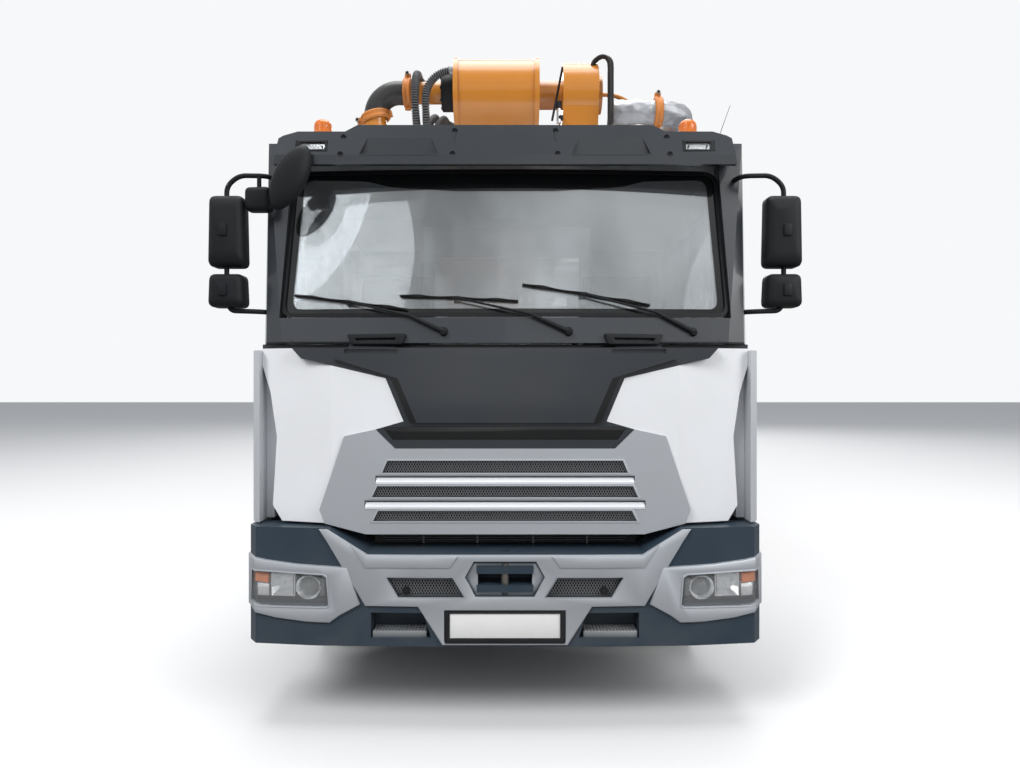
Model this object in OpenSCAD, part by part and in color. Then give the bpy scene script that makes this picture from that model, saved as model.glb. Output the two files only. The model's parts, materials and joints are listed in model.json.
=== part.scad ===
// Truck-mounted concrete pump: a three-axle cab-over truck with a four-section folding boom.
// Row frame: +X to the truck's left-hand-drive side as seen from the front, +Y to the tail, +Z up.
// The origin is on the ground, under the middle of the overall length.

/* [Truck] */
// Overall length, bumper face to tail
overall_l = 11600; // [11400:50:11800]
// Width over the cab sides and rear tyres
body_w = 2500; // [2480:10:2520]
// Bumper face to front axle
front_overhang = 1450; // [1400:10:1500]
// Front axle to first drive axle
wheelbase = 5200; // [5100:50:5300]
// First to second drive axle
bogie_pitch = 1370; // [1340:10:1400]
// Top of the chassis rails
rail_top = 1060; // [1050:5:1070]
// Depth of the chassis rails
rail_h = 300; // [260:10:320]
// Width over the chassis rails
frame_w = 860; // [820:10:900]

/* [Wheels] */
// Tyre radius out to the tread blocks
tyre_r = 530; // [520:5:535]
// Tyre section width
tyre_w = 310; // [290:5:315]
// Radius of the rim under the tyre bead
rim_r = 286; // [280:1:290]
// Centre to centre of twin tyres
twin_pitch = 350; // [340:5:360]
// Kingpin axis from the truck's middle
kingpin_x = 870; // [860:5:880]
// Front tyre middle from the truck's middle
front_track_x = 1025; // [1015:5:1035]
// Wheel stud circle diameter
stud_pcd = 335; // [335:1:336]

/* [Cab] */
// Cab depth, front corner to back wall
cab_l = 1830; // [1780:10:1850]
// Roof height above the ground
cab_roof_z = 2890; // [2860:5:2900]
// Thickness of the cab walls and doors
cab_wall = 60; // [50:5:70]
// Length of a door
door_l = 1000; // [960:10:1020]
// Bottom edge of the cab skin
cab_floor_z = 975; // [965:5:985]
// Bottom of the windscreen
screen_z = 1977; // [1960:5:1990]

/* [Boom] */
// Slewing axis, behind the bumper face
slew_y = 3100; // [3090:10:3120]
// Height of the arm 1 pivot
pivot1_z = 3280; // [3275:1:3285]
// Length of arm 1 between pivots
arm1_l = 8000; // [7900:50:8050]
// Length of arm 2 between pivots
arm2_l = 9300; // [9250:50:9350]
// Length of arm 3 between pivots
arm3_l = 8000; // [7900:50:8050]
// Length of arm 4, pivot to tip
arm4_l = 6300; // [6200:50:6400]
// Height of the arm 1 to 2 pivot
pivot2_z = 3470; // [3468:1:3474]
// Height of the arm 2 to 3 pivot
pivot3_z = 3530; // [3525:1:3535]
// Height of the arm 3 to 4 pivot
pivot4_z = 3400; // [3396:1:3404]
// Radius of the arm 2 end drum
drum_r = 228; // [220:2:240]
// Outer radius of the delivery pipe
pipe_r = 74; // [68:1:76]
// Bend radius of the delivery pipe
pipe_bend = 165; // [160:1:175]

/* [Outriggers] */
// Length of a front outrigger, pivot to jack
front_leg_l = 2650; // [2500:50:2700]
// Length of a rear outrigger, pivot to jack
rear_leg_l = 2150; // [2000:50:2200]
// Depth of an outrigger box
leg_h = 300; // [260:10:310]
// Radius of a jack's inner tube
jack_r = 55; // [50:1:60]
// Radius of a jack's foot plate
foot_r = 150; // [140:5:160]
// Height of a raised foot plate's underside
foot_z = 440; // [430:5:450]

/* [Pump] */
// Width of the hopper at its rim
hopper_w = 1620; // [1560:10:1660]
// Height of the hopper rim
hopper_z = 1480; // [1440:10:1500]
// Wall of the hopper
hopper_t = 12; // [8:1:14]

/* [Hidden] */
$fn = 64;
gap = 6;            // running gap between moving panels
pin_play = 0.3;     // radial play of a pin in its bore
eps = 1;            // how far a cut runs past the face it opens
y_front = -overall_l / 2;
y_tail = overall_l / 2;
y_axle1 = y_front + front_overhang;
y_axle2 = y_axle1 + wheelbase;
y_axle3 = y_axle2 + bogie_pitch;
hub_z = tyre_r;
half_w = body_w / 2;
rail_x1 = frame_w / 2;
rail_x0 = rail_x1 - 80;
rail_bot = rail_top - rail_h;
sub_top = rail_top + 140;
rear_outer_x = half_w - tyre_w / 2 - 1;
rear_inner_x = rear_outer_x - twin_pitch;
arch_r = 632;       // clear radius around a steered front tyre
// Cab
cab_y0 = y_front + 75;
cab_back = cab_y0 + cab_l;
cab_hw = half_w - 20;
corner_y = cab_y0 + 385;
skin_y = cab_y0 + 165;
cab_low = rail_top + 140;
belt_z = screen_z - 127;
door_y0 = corner_y + 10;
door_y1 = door_y0 + door_l;
door_z0 = 1185;
door_z1 = cab_roof_z - 100;
door_pin_x = half_w;
door_pin_y = corner_y - 5;
// Boom
boom_x = -62;
slew_pos = y_front + slew_y;
p1y = slew_pos - 450;
p1z = pivot1_z;
p2y = p1y + sqrt(arm1_l * arm1_l - (pivot2_z - p1z) * (pivot2_z - p1z));
p2z = pivot2_z;
p3y = p2y - sqrt(arm2_l * arm2_l - (pivot3_z - p2z) * (pivot3_z - p2z));
p3z = pivot3_z;
p4y = p3y + sqrt(arm3_l * arm3_l - (pivot4_z - p3z) * (pivot4_z - p3z));
p4z = pivot4_z;
tip_y = p4y - arm4_l;
a1x0 = boom_x - 225;
a1x1 = boom_x + 225;
ear_t = 46;
a2x0 = boom_x - 210;
a2x1 = boom_x + 210;
drum_x0 = boom_x - 271;
drum_x1 = boom_x + 271;
a3x0 = 360;
a3x1 = 585;
lane_l = boom_x - 368;
lift_low = [p1y + 300, p1z - 1280];
lift_eye = [p1y + 1800, p1z - 150];

module box(x0, x1, y0, y1, z0, z1)
  translate([x0, y0, z0]) cube([x1 - x0, y1 - y0, z1 - z0]);

module rod_x(x0, x1, y, z, r)
  translate([x0, y, z]) rotate([0, 90, 0]) cylinder(h = x1 - x0, r = r);

module rod_y(x, y0, y1, z, r)
  translate([x, y0, z]) rotate([-90, 0, 0]) cylinder(h = y1 - y0, r = r);

module rod_z(x, y, z0, z1, r)
  translate([x, y, z0]) cylinder(h = z1 - z0, r = r);

// A flat shape in Y and Z, drawn out along X
module prism_x(x0, x1, pts)
  translate([x0, 0, 0]) rotate([90, 0, 90]) linear_extrude(x1 - x0) polygon(pts);

// A flat shape in X and Z, drawn out along Y
module prism_y(y0, y1, pts)
  translate([0, y1, 0]) rotate([90, 0, 0]) linear_extrude(y1 - y0) polygon(pts);

// A flat shape in X and Y, drawn out along Z
module prism_z(z0, z1, pts)
  translate([0, 0, z0]) linear_extrude(z1 - z0) polygon(pts);

module both() {
  children();
  mirror([1, 0, 0]) children();
}

// A straight round bar between two points of one X plane
module rod_yz(x, a, b, r)
  translate([x, a[0], a[1]])
    rotate([-90 + atan2(b[1] - a[1], b[0] - a[0]), 0, 0])
      cylinder(h = norm(b - a), r = r);

// A closed box beam whose side webs sit between its flange plates
module beam(x0, x1, pts, lip = 14)
  difference() {
    prism_x(x0, x1, pts);
    for (side = [x0 - eps, x1 - lip])
      translate([side, 0, 0]) rotate([90, 0, 90]) linear_extrude(lip + eps)
        offset(delta = -lip) polygon(pts);
  }

// Chassis
module chassis_frame() color("#2b3036") {
  cross_y = [y_front + 400, cab_back + 350, y_axle2 - 900, y_axle2 - 420, y_axle3 + 300];
  both() difference() {
    box(rail_x0, rail_x1, y_front + 350, 4600, rail_bot, rail_top);
    box(rail_x0 - eps, rail_x1 - 10, y_front + 350 - eps, 4600 + eps, rail_bot + 12, rail_top - 12);
  }
  for (y = cross_y) box(-rail_x1 + 5, rail_x1 - 5, y - 40, y + 40, rail_bot + 30, rail_top - 30);
  box(-rail_x1 + 5, rail_x1 - 5, 4520, 4590, rail_bot + 5, rail_bot + 70);
}

module leaf_spring(y, half, z_mid, z_end) {
  prism_x(rail_x0 + 5, rail_x1 - 5, [[y - half, z_end], [y - half * 0.45, z_mid + 25], [y - 60, z_mid],
    [y + 60, z_mid], [y + half * 0.45, z_mid + 25], [y + half, z_end], [y + half, z_end + 16],
    [y + half * 0.7, z_end + 2], [y + half * 0.45, z_mid + 90], [y + 60, z_mid + 90],
    [y - 60, z_mid + 90], [y - half * 0.45, z_mid + 90], [y - half * 0.7, z_end + 2],
    [y - half, z_end + 16]]);
  for (s = [-1, 1]) box(rail_x0 + 5, rail_x1 - 5, y + s * half - 35, y + s * half + 35, z_end, rail_bot);
}

module front_axle() color("#23272b") {
  difference() {
    union() {
      prism_y(y_axle1 - 55, y_axle1 + 55, [[-kingpin_x + 40, 590], [-kingpin_x + 40, 470], [-700, 400],
        [700, 400], [kingpin_x - 40, 470], [kingpin_x - 40, 590], [680, 520], [-680, 520]]);
      both() rod_z(kingpin_x, y_axle1, 470, 590, 52);
      both() leaf_spring(y_axle1, 620, 520, 690);
    }
    both() rod_z(kingpin_x, y_axle1, 400, 700, 24 + pin_play);
  }
}

module knuckle_at() {
  difference() {
    union() {
      rod_z(kingpin_x, y_axle1, 410, 650, 24);
      rod_z(kingpin_x, y_axle1, 410, 464, 50);
      rod_z(kingpin_x, y_axle1, 596, 650, 50);
      box(kingpin_x, kingpin_x + 95, y_axle1 - 50, y_axle1 + 50, 410, 464);
      box(kingpin_x, kingpin_x + 95, y_axle1 - 50, y_axle1 + 50, 596, 650);
      box(kingpin_x + 60, kingpin_x + 95, y_axle1 - 50, y_axle1 + 50, 440, 620);
      rod_x(kingpin_x + 60, kingpin_x + 275, y_axle1, hub_z, 42);
    }
  }
}

module knuckle_left() color("#3a3f44") knuckle_at();
module knuckle_right() color("#3a3f44") mirror([1, 0, 0]) knuckle_at();

module tyre_ring(x) translate([x, 0, 0]) rotate([0, 90, 0]) rotate_extrude()
  polygon([[rim_r - 4, -tyre_w / 2 + 50], [rim_r + 14, -tyre_w / 2 + 22], [370, -tyre_w / 2 + 4],
    [tyre_r * 0.82, -tyre_w / 2], [tyre_r - 30, -tyre_w / 2 + 10], [tyre_r - 6, -tyre_w / 2 + 24],
    [tyre_r, -tyre_w / 2 + 44], [tyre_r, tyre_w / 2 - 44], [tyre_r - 6, tyre_w / 2 - 24],
    [tyre_r - 30, tyre_w / 2 - 10], [tyre_r * 0.82, tyre_w / 2], [370, tyre_w / 2 - 4],
    [rim_r + 14, tyre_w / 2 - 22], [rim_r - 4, tyre_w / 2 - 50]]);

module front_wheel(side) color("#222426") translate([0, y_axle1, hub_z]) scale([side, 1, 1]) {
  tyre_ring(front_track_x);
  difference() {
    translate([front_track_x, 0, 0]) rotate([0, 90, 0]) rotate_extrude()
      polygon([[42 + pin_play, -50], [120, -50], [140, 40], [250, 20], [rim_r - 20, -20],
        [rim_r - 20, -115], [rim_r, -115], [rim_r, 115], [rim_r - 20, 115], [rim_r - 26, 40],
        [215, 60], [150, 66], [130, 150], [0, 160], [0, 130], [42 + pin_play, 130]]);
    for (a = [0 : 36 : 359])
      translate([front_track_x - 60, 0, 0]) rotate([a, 0, 0]) translate([0, 200, 0])
        rotate([0, 90, 0]) cylinder(h = 200, r = 20);
  }
}

module twin_wheel(side, y) color("#222426") translate([0, y, hub_z]) scale([side, 1, 1]) {
  tyre_ring(rear_outer_x);
  tyre_ring(rear_inner_x);
  difference() {
    translate([rear_outer_x, 0, 0]) rotate([0, 90, 0]) rotate_extrude()
      polygon([[50 + pin_play, -420], [130, -420], [150, -190], [235, -190], [rim_r - 20, -250],
        [rim_r - 20, -twin_pitch - 115], [rim_r, -twin_pitch - 115], [rim_r, -twin_pitch + 115],
        [rim_r - 20, -twin_pitch + 115], [235, -150], [rim_r - 20, -115], [rim_r, -115], [rim_r, 115],
        [rim_r - 20, 115], [rim_r - 26, -90], [240, -130], [150, -130], [135, 60], [0, 66], [0, 40],
        [50 + pin_play, 40]]);
    for (a = [0 : 36 : 359])
      translate([rear_outer_x - 260, 0, 0]) rotate([a, 0, 0]) translate([0, 200, 0])
        rotate([0, 90, 0]) cylinder(h = 200, r = 20);
  }
}

module wheel_front_left() front_wheel(1);
module wheel_front_right() front_wheel(-1);
module wheels_mid_left() twin_wheel(1, y_axle2);
module wheels_mid_right() twin_wheel(-1, y_axle2);
module wheels_rear_left() twin_wheel(1, y_axle3);
module wheels_rear_right() twin_wheel(-1, y_axle3);

module rear_axles() color("#23272b") {
  mid = (y_axle2 + y_axle3) / 2;
  for (y = [y_axle2, y_axle3]) {
    rod_x(-640, 640, y, hub_z, 78);
    rod_x(-rear_outer_x - 10, rear_outer_x + 10, y, hub_z, 50);
    rod_x(-150, 150, y, hub_z, 215);
    translate([0, y, hub_z]) rotate([90, 0, 0]) cylinder(h = 460, r1 = 190, r2 = 120, center = true);
    both() box(rail_x0, rail_x1 - 5, y - 60, y + 60, hub_z, hub_z + 85);
  }
  both() prism_x(rail_x0, rail_x1 - 5, [[y_axle2 - 120, hub_z + 85], [y_axle3 + 120, hub_z + 85],
    [y_axle3 + 120, hub_z + 115], [mid + 200, rail_bot - 30], [mid + 200, rail_bot],
    [mid - 200, rail_bot], [mid - 200, rail_bot - 30], [y_axle2 - 120, hub_z + 115]]);
}

module powertrain() color("#4a4f55") {
  box(-300, 300, y_front + 640, cab_back - 40, 620, cab_low - 20);
  for (y = [y_front + 760, cab_back - 260]) box(-rail_x0, rail_x0, y, y + 90, rail_top - 60, rail_top);
  box(-220, 220, cab_back - 40, cab_back + 300, 700, 1030);
  rod_y(0, cab_back + 300, y_axle2 - 230, 640, 55);
  rod_y(0, y_axle2 + 230, y_axle3 - 230, hub_z, 45);
}

// Cab
function bow(y, d) = [[cab_hw, y + 300 - d], [cab_hw - 10, y + 170 - d * 0.7], [cab_hw - 40, y + 95 - d * 0.3],
  [cab_hw - 130, y + 52], [640, y + 18], [0, y]];
function plan(y, d) = concat([for (p = bow(y, d)) p], [for (i = [4 : -1 : 0]) [-bow(y, d)[i][0], bow(y, d)[i][1]]],
  [[-cab_hw, cab_back], [cab_hw, cab_back]]);

// The upper cab from the belt line to the roof, drawn in by a distance
module upper_cab(inset, z0, z1)
  hull() {
    translate([0, 0, z0]) linear_extrude(1) offset(delta = -inset) polygon(plan(cab_y0, 0));
    translate([0, 0, z1 - 1]) linear_extrude(1) offset(delta = -inset) polygon(plan(cab_y0 + 210, 210));
  }

module screen_opening(grow = 0)
  prism_y(cab_y0 - 100, corner_y - 60, [[-1120 - grow, screen_z - grow], [1120 + grow, screen_z - grow],
    [1090 + grow, cab_roof_z - 100], [-1090 - grow, cab_roof_z - 100]]);

module rear_window_opening()
  box(-520, 520, cab_back - cab_wall - eps, cab_back + eps, 2050, 2560);

module cab_shell() color("#e6e8ea") {
  difference() {
    union() {
      upper_cab(0, belt_z, cab_roof_z);
      box(-cab_hw, cab_hw, skin_y, cab_back, cab_low, belt_z);
      both() box(cab_hw - cab_wall, cab_hw, skin_y, y_axle1 - arch_r, cab_floor_z, cab_low);
    }
    upper_cab(cab_wall, belt_z, cab_roof_z - cab_wall);
    box(-cab_hw + cab_wall, cab_hw - cab_wall, skin_y + cab_wall, cab_back - cab_wall, cab_low + cab_wall, belt_z + eps);
    screen_opening();
    rear_window_opening();
    both() box(cab_hw - cab_wall - eps, cab_hw + eps, door_y0 - gap, door_y1 + gap, door_z0 + cab_wall - gap, door_z1 + gap);
    rod_x(-cab_hw - eps, cab_hw + eps, y_axle1, hub_z, arch_r + 12);
  }
  // Floor tunnel over the engine
  box(-330, 330, skin_y + cab_wall, cab_back - cab_wall, cab_low + cab_wall, cab_low + 330);
  // Cab mounts on the rails
  both() for (y = [skin_y + 60, cab_back - 160]) box(rail_x0, rail_x1, y, y + 100, rail_top, cab_low);
  // Door hinges: a pin with a lug above and below each door lug
  both() for (z = [1420, 2300]) {
    rod_z(door_pin_x, door_pin_y, z - 40, z + 100, 9);
    for (s = [z - 40, z + 66]) {
      rod_z(door_pin_x, door_pin_y, s, s + 34, 16);
      box(cab_hw - 5, door_pin_x, door_pin_y - 16, door_pin_y + 10, s, s + 34);
    }
  }
  // Rain gutters
  both() box(cab_hw, cab_hw + 14, door_y0 - 20, cab_back, door_z1 + 14, door_z1 + 30);
}

module cab_glass() color("#38434c") {
  intersection() {
    difference() {
      upper_cab(18, belt_z, cab_roof_z - 1);
      upper_cab(26, belt_z - 1, cab_roof_z);
    }
    screen_opening();
  }
  box(-520, 520, cab_back - 34, cab_back - 28, 2050, 2560);
}

module door_at() {
  window = [[door_y0 + 80, belt_z + 130], [door_y1 - 70, belt_z + 80], [door_y1 - 70, door_z1 - 90],
    [door_y0 + 150, door_z1 - 90], [door_y0 + 80, door_z1 - 190]];
  difference() {
    box(cab_hw - cab_wall, cab_hw, door_y0, door_y1, door_z0 + cab_wall, door_z1);
    prism_x(cab_hw - cab_wall - eps, cab_hw + eps, window);
    box(cab_hw - 24, cab_hw + eps, door_y1 - 250, door_y1 - 90, belt_z - 40, belt_z + 10);
  }
  box(cab_hw - 16, cab_hw + 2, door_y1 - 251, door_y1 - 89, belt_z - 12, belt_z + 8);
  for (z = [1420, 2300]) difference() {
    union() {
      rod_z(door_pin_x, door_pin_y, z, z + 60, 16);
      prism_z(z, z + 60, [[door_pin_x - 16, door_pin_y], [door_pin_x + 16, door_pin_y],
        [door_pin_x + 2, door_y0 + 70], [cab_hw, door_y0 + 70], [cab_hw, door_pin_y + 14]]);
    }
    rod_z(door_pin_x, door_pin_y, z - eps, z + 60 + eps, 9 + pin_play);
  }
}

module door_pane() {
  window = [[door_y0 + 80, belt_z + 130], [door_y1 - 70, belt_z + 80], [door_y1 - 70, door_z1 - 90],
    [door_y0 + 150, door_z1 - 90], [door_y0 + 80, door_z1 - 190]];
  prism_x(cab_hw - 30, cab_hw - 24, window);
}

module door_left() color("#e6e8ea") door_at();
module door_right() color("#e6e8ea") mirror([1, 0, 0]) door_at();
module door_glass_left() color("#38434c") door_pane();
module door_glass_right() color("#38434c") mirror([1, 0, 0]) door_pane();

module cab_interior() color("#3c3f42") {
  floor = cab_low + cab_wall;
  tunnel = cab_low + 330;
  // Dashboard across the front wall
  prism_x(-cab_hw + cab_wall + 30, cab_hw - cab_wall - 30, [[skin_y + cab_wall, tunnel], [skin_y + 330, tunnel],
    [skin_y + 400, belt_z - 190], [skin_y + 330, belt_z - 30], [skin_y + cab_wall, belt_z - 10]]);
  for (x = [-760, 760]) {
    box(x - 200, x + 200, cab_back - 830, cab_back - 380, floor, floor + 260);
    box(x - 240, x + 240, cab_back - 860, cab_back - 340, floor + 260, floor + 400);
    prism_x(x - 230, x + 230, [[cab_back - 420, floor + 400], [cab_back - 300, floor + 400],
      [cab_back - 170, floor + 1120], [cab_back - 270, floor + 1130]]);
  }
  // Steering column and wheel
  rod_yz(620, [skin_y + 340, belt_z - 130], [skin_y + 520, belt_z + 40], 28);
  translate([620, skin_y + 520, belt_z + 40]) rotate([46.6, 0, 0]) {
    rotate_extrude() translate([225, 0]) circle(r = 16, $fn = 24);
    cylinder(h = 36, r = 60, center = true);
    for (a = [0, 120, 240]) rotate([0, 0, a + 90]) translate([0, -18, -7]) cube([215, 36, 14]);
  }
}

module roof_visor() color("#4a4e54") {
  visor_y = cab_y0 + 60;
  visor_z = cab_roof_z - 155;
  // Lip that hangs over the top of the windscreen
  difference() {
    prism_y(visor_y, visor_y + 330, [[-1145, visor_z], [1145, visor_z], [1128, visor_z + 138], [1105, visor_z + 153],
      [1035, visor_z + 176], [800, visor_z + 176], [740, visor_z + 213], [-740, visor_z + 213],
      [-800, visor_z + 176], [-1035, visor_z + 176], [-1105, visor_z + 153], [-1128, visor_z + 138]]);
    prism_x(-1300, 1300, [[visor_y - eps, visor_z + 45], [visor_y + 60, visor_z + 220], [visor_y - eps, visor_z + 220]]);
    prism_x(-1300, 1300, [[visor_y + 30, visor_z - eps], [visor_y + 340, visor_z - eps], [visor_y + 340, visor_z + 110],
      [visor_y + 300, visor_z + 110]]);
    upper_cab(-0.5, belt_z, cab_roof_z + 0.2);
    both() box(880, 1040, visor_y - eps, visor_y + 60, visor_z + 68, visor_z + 126);
    both() prism_y(visor_y - eps, visor_y + 32, [[330, visor_z + 52], [720, visor_z + 52], [680, visor_z + 150],
      [370, visor_z + 150]]);
  }
}

module front_panel() color("#3a4046") {
  difference() {
    union() {
      prism_y(cab_y0 - 5, skin_y, [[-1037, belt_z - 24], [-990, belt_z - 76], [-580, belt_z - 172],
        [-493, belt_z - 381], [-628, belt_z - 420], [-533, belt_z - 513], [533, belt_z - 513], [628, belt_z - 420],
        [493, belt_z - 381], [580, belt_z - 172], [990, belt_z - 76], [1037, belt_z - 24]]);
      // Raised middle field of the service flap
      prism_y(cab_y0 - 20, cab_y0, [[-820, belt_z - 88], [-548, belt_z - 170], [-452, belt_z - 388],
        [452, belt_z - 388], [548, belt_z - 170], [820, belt_z - 88]]);
    }
    prism_y(cab_y0 - 21, cab_y0 + 30, [[-590, belt_z - 412], [-440, belt_z - 405], [440, belt_z - 405],
      [590, belt_z - 412], [545, belt_z - 470], [-545, belt_z - 470]]);
    both() box(520, 780, cab_y0 - 21, cab_y0 + 10, belt_z - 52, belt_z - 30);
  }
  both() prism_x(540, 760, [[cab_y0 - 5, belt_z - 24], [cab_y0 + 120, belt_z - 24], [cab_y0 + 120, belt_z]
    , [cab_y0 + 20, belt_z - 4]]);
}

module corner_at() {
  difference() {
    prism_y(cab_y0 - 5, skin_y, [[1037, belt_z - 24], [990, belt_z - 76], [580, belt_z - 172], [493, belt_z - 381],
      [628, belt_z - 420], [778, belt_z - 452], [899, belt_z - 809], [873, belt_z - 875], [1102, belt_z - 875],
      [1152, belt_z - 800], [1130, belt_z - 460], [1165, belt_z - 240], [1208, belt_z - 110], [1208, belt_z - 24]]);
    prism_z(belt_z - 900, belt_z, [[840, cab_y0 - 6], [1300, cab_y0 + 120], [1300, cab_y0 - 6]]);
  }
}

module corner_panels() color("#e6e8ea") both() corner_at();

module deflectors() color("#b4b8bd") both() {
  prism_z(belt_z - 880, belt_z - 34, [[1209, cab_y0 + 50], [half_w, cab_y0 + 85], [half_w, corner_y - 30],
    [cab_hw, corner_y - 30], [cab_hw, skin_y], [1209, skin_y]]);
}

module grille() color("#b4b8bd") {
  z = belt_z;
  difference() {
    union() {
      prism_y(cab_y0 - 15, skin_y, [[-778, z - 452], [-628, z - 420], [-533, z - 513], [533, z - 513],
        [628, z - 420], [778, z - 452], [899, z - 809], [873, z - 875], [673, z - 927], [-673, z - 927],
        [-873, z - 875], [-899, z - 809]]);
    }
    for (row = [[572, 567, 635], [621, 690, 753], [616, 809, 868]])
      prism_y(cab_y0 - 16, cab_y0 + 60, [[-row[0], z - row[1]], [row[0], z - row[1]],
        [row[0] + 30, z - row[2]], [-row[0] - 30, z - row[2]]]);
    for (row = [[628, 642, 684], [680, 761, 803]])
      prism_x(-row[0], row[0], [[cab_y0 - 16, z - row[1]], [cab_y0 + 14, z - row[1] - 14],
        [cab_y0 + 14, z - row[2] + 2], [cab_y0 - 16, z - row[2] + 14]]);
  }
}

tow_y = y_front + 32;

module bumper_plan() polygon([[-half_w, y_front + 720], [-half_w, y_front + 120], [-1205, y_front + 55],
  [-900, y_front + 16], [-420, y_front], [420, y_front], [900, y_front + 16], [1205, y_front + 55],
  [half_w, y_front + 120], [half_w, y_front + 720], [half_w - 60, y_front + 720], [half_w - 60, y_front + 230],
  [-half_w + 60, y_front + 230], [-half_w + 60, y_front + 720]]);

module bumper() color("#3a4a57") {
  top = belt_z - 888;
  difference() {
    union() {
      translate([0, 0, 400]) linear_extrude(top - 400) bumper_plan();
      both() box(rail_x0, rail_x1, y_front + 225, y_front + 350, rail_bot, top - 40);
    }
    // Slot under the grille that shows the radiator
    prism_y(y_front - eps, y_front + 231, [[-660, 850], [660, 850], [850, top + eps], [-850, top + eps]]);
    // Headlamp pockets
    both() prism_y(y_front - eps, y_front + 150, [[850, 595], [835, 640], [850, 735], [1225, 768],
      [1290, 768], [1290, 590], [1190, 585]]);
    // Entry steps in the front and in the side wings
    both() prism_y(y_front - eps, y_front + 120, [[390, 560], [350, 440], [640, 440], [640, 560]]);
    both() for (s = [450, 690]) box(half_w - 61, half_w + eps, y_front + 330, y_front + 660, s, s + 150);
    // Mesh vents and the towing jaw
    both() prism_y(y_front - eps, y_front + 90, [[247, 732], [566, 732], [509, 636], [190, 636]]);
    prism_y(y_front - eps, y_front + 150, [[-185, 727], [-150, 795], [150, 795], [185, 727], [150, 640], [-150, 640]]);
    box(-285, 285, y_front - eps, y_front + 8, 425, 572);
    rod_z(0, tow_y, 780, top, 23);
  }
  // Towing jaw with its pin hole
  difference() {
    union() {
      box(-135, 135, y_front + 6, y_front + 155, 655, 690);
      box(-135, 135, y_front + 6, y_front + 155, 745, 780);
    }
    rod_z(0, tow_y, 600, 800, 20);
  }
  // Tread bars in the front steps
  both() box(370, 638, y_front + 40, y_front + 121, 440, 462);
  both() for (s = [450, 690]) box(half_w - 190, half_w - 59, y_front + 330, y_front + 660, s - 20, s);
}

module lamps() color("#dfe6ea") {
  both() prism_z(600, 735, [[860, y_front + 25], [1205, y_front + 66],
    [1240, y_front + 130], [1240, y_front + 150], [860, y_front + 150]]);
  // Beacons on the roof visor
  both() rod_z(945, cab_y0 + 250, cab_roof_z + 21, cab_roof_z + 130, 50);
}

module mirror_at() {
  my = cab_y0 + 110;
  // Main and wide-angle housings on one bracket
  box(1292, 1478, my - 60, my + 60, 2230, 2590);
  box(1292, 1478, my - 60, my + 60, 2030, 2200);
  rod_z(1392, my, 2160, 2700, 14);
  rod_x(1150, 1392, my, 2690, 14);
  rod_x(1150, 1392, my, 2015, 14);
  rod_z(1392, my, 2015, 2170, 14);
  rod_yz(1160, [my, 2690], [my + 220, 2690], 12);
  rod_yz(1160, [my, 2015], [my + 120, 2015], 12);
}

// Oval front mirror that leans across the screen corner, and kerb mirror, on the right side only
module front_and_kerb_mirror() {
  my = cab_y0 + 110;
  oval_y = cab_y0 + 60 - 80;
  prism_y(oval_y, oval_y + 55, [for (a = [0 : 15 : 359])
    [-1052 + 88 * cos(a) * cos(26) + 178 * sin(a) * sin(26), 2662 + 178 * sin(a) * cos(26) - 88 * cos(a) * sin(26)]]);
  rod_y(-1020, oval_y + 50, cab_y0 + 60, cab_roof_z - 135, 14);
  box(-1296, -1166, my - 40, my + 40, 2510, 2635);
  rod_z(-1230, my, 2630, 2682, 12);
}

module mirrors() color("#23272b") {
  difference() {
    both() mirror_at();
    upper_cab(-0.3, belt_z, cab_roof_z);
  }
  front_and_kerb_mirror();
}

module wiper_at(w) {
  wy = cab_y0 - 26;
  rod_y(w[0], wy, cab_y0 + 90, screen_z - 60, 16);
  prism_y(wy, wy + 12, [[w[0] + 10, screen_z - 70], [w[0] + 10, screen_z - 50], [(w[1] + w[2]) / 2, screen_z + 70],
    [(w[1] + w[2]) / 2, screen_z + 50]]);
  prism_y(wy, wy + 20, [[w[1], screen_z + 80], [w[2], screen_z + 20], [w[2], screen_z + 36], [w[1], screen_z + 98]]);
}

module wipers() color("#1d2023") difference() {
  for (w = [[-300, -1030, -480], [310, -520, 60], [920, 70, 700]]) wiper_at(w);
  upper_cab(-0.2, belt_z, cab_roof_z);
}

module fenders() color("#2b3036") {
  both() difference() {
    union() {
      rod_x(600, half_w - 2, y_axle1, hub_z, arch_r + 8, $fn = 192);
      box(rail_x1, 640, y_axle1 + 430, y_axle1 + 475, 960, 1020);
    }
    rod_x(599, half_w, y_axle1, hub_z, arch_r, $fn = 192);
    box(300, half_w + eps, y_axle1 - 800, y_axle1 + 800, -200, hub_z + 60);
    box(300, half_w + eps, y_axle1 - 800, y_axle1 - 560, -200, 1300);
  }
  for (y = [y_axle2, y_axle3]) both() difference() {
    union() {
      rod_x(585, half_w - 2, y, hub_z, tyre_r + 48, $fn = 192);
      box(rail_x1, 640, y - 30, y + 30, rail_top - 60, hub_z + tyre_r + 48);
    }
    rod_x(420, half_w, y, hub_z, tyre_r + 40, $fn = 192);
    box(300, half_w + eps, y - 700, y + 700, -200, hub_z + 260);
  }
}

// Body behind the cab
leg_x = half_w - 160;
leg_z0 = sub_top + 10;
leg_z1 = leg_z0 + leg_h;
front_leg_y = slew_pos - 380;
rear_leg_y = y_axle3 + 880;
rear_leg_x = half_w - 160;

module leg_clevis(x, y) {
  box(rail_x1 - 60, x + 100, y - 110, y + 110, leg_z0 - 50, leg_z0 - 8);
  box(rail_x1 - 60, x + 100, y - 110, y + 110, leg_z1 + 8, leg_z1 + 50);
  box(rail_x1 - 60, x - 260, y - 110, y + 110, leg_z0 - 9, leg_z1 + 9);
  rod_z(x, y, leg_z0 - 60, leg_z1 + 70, 45);
}

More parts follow.
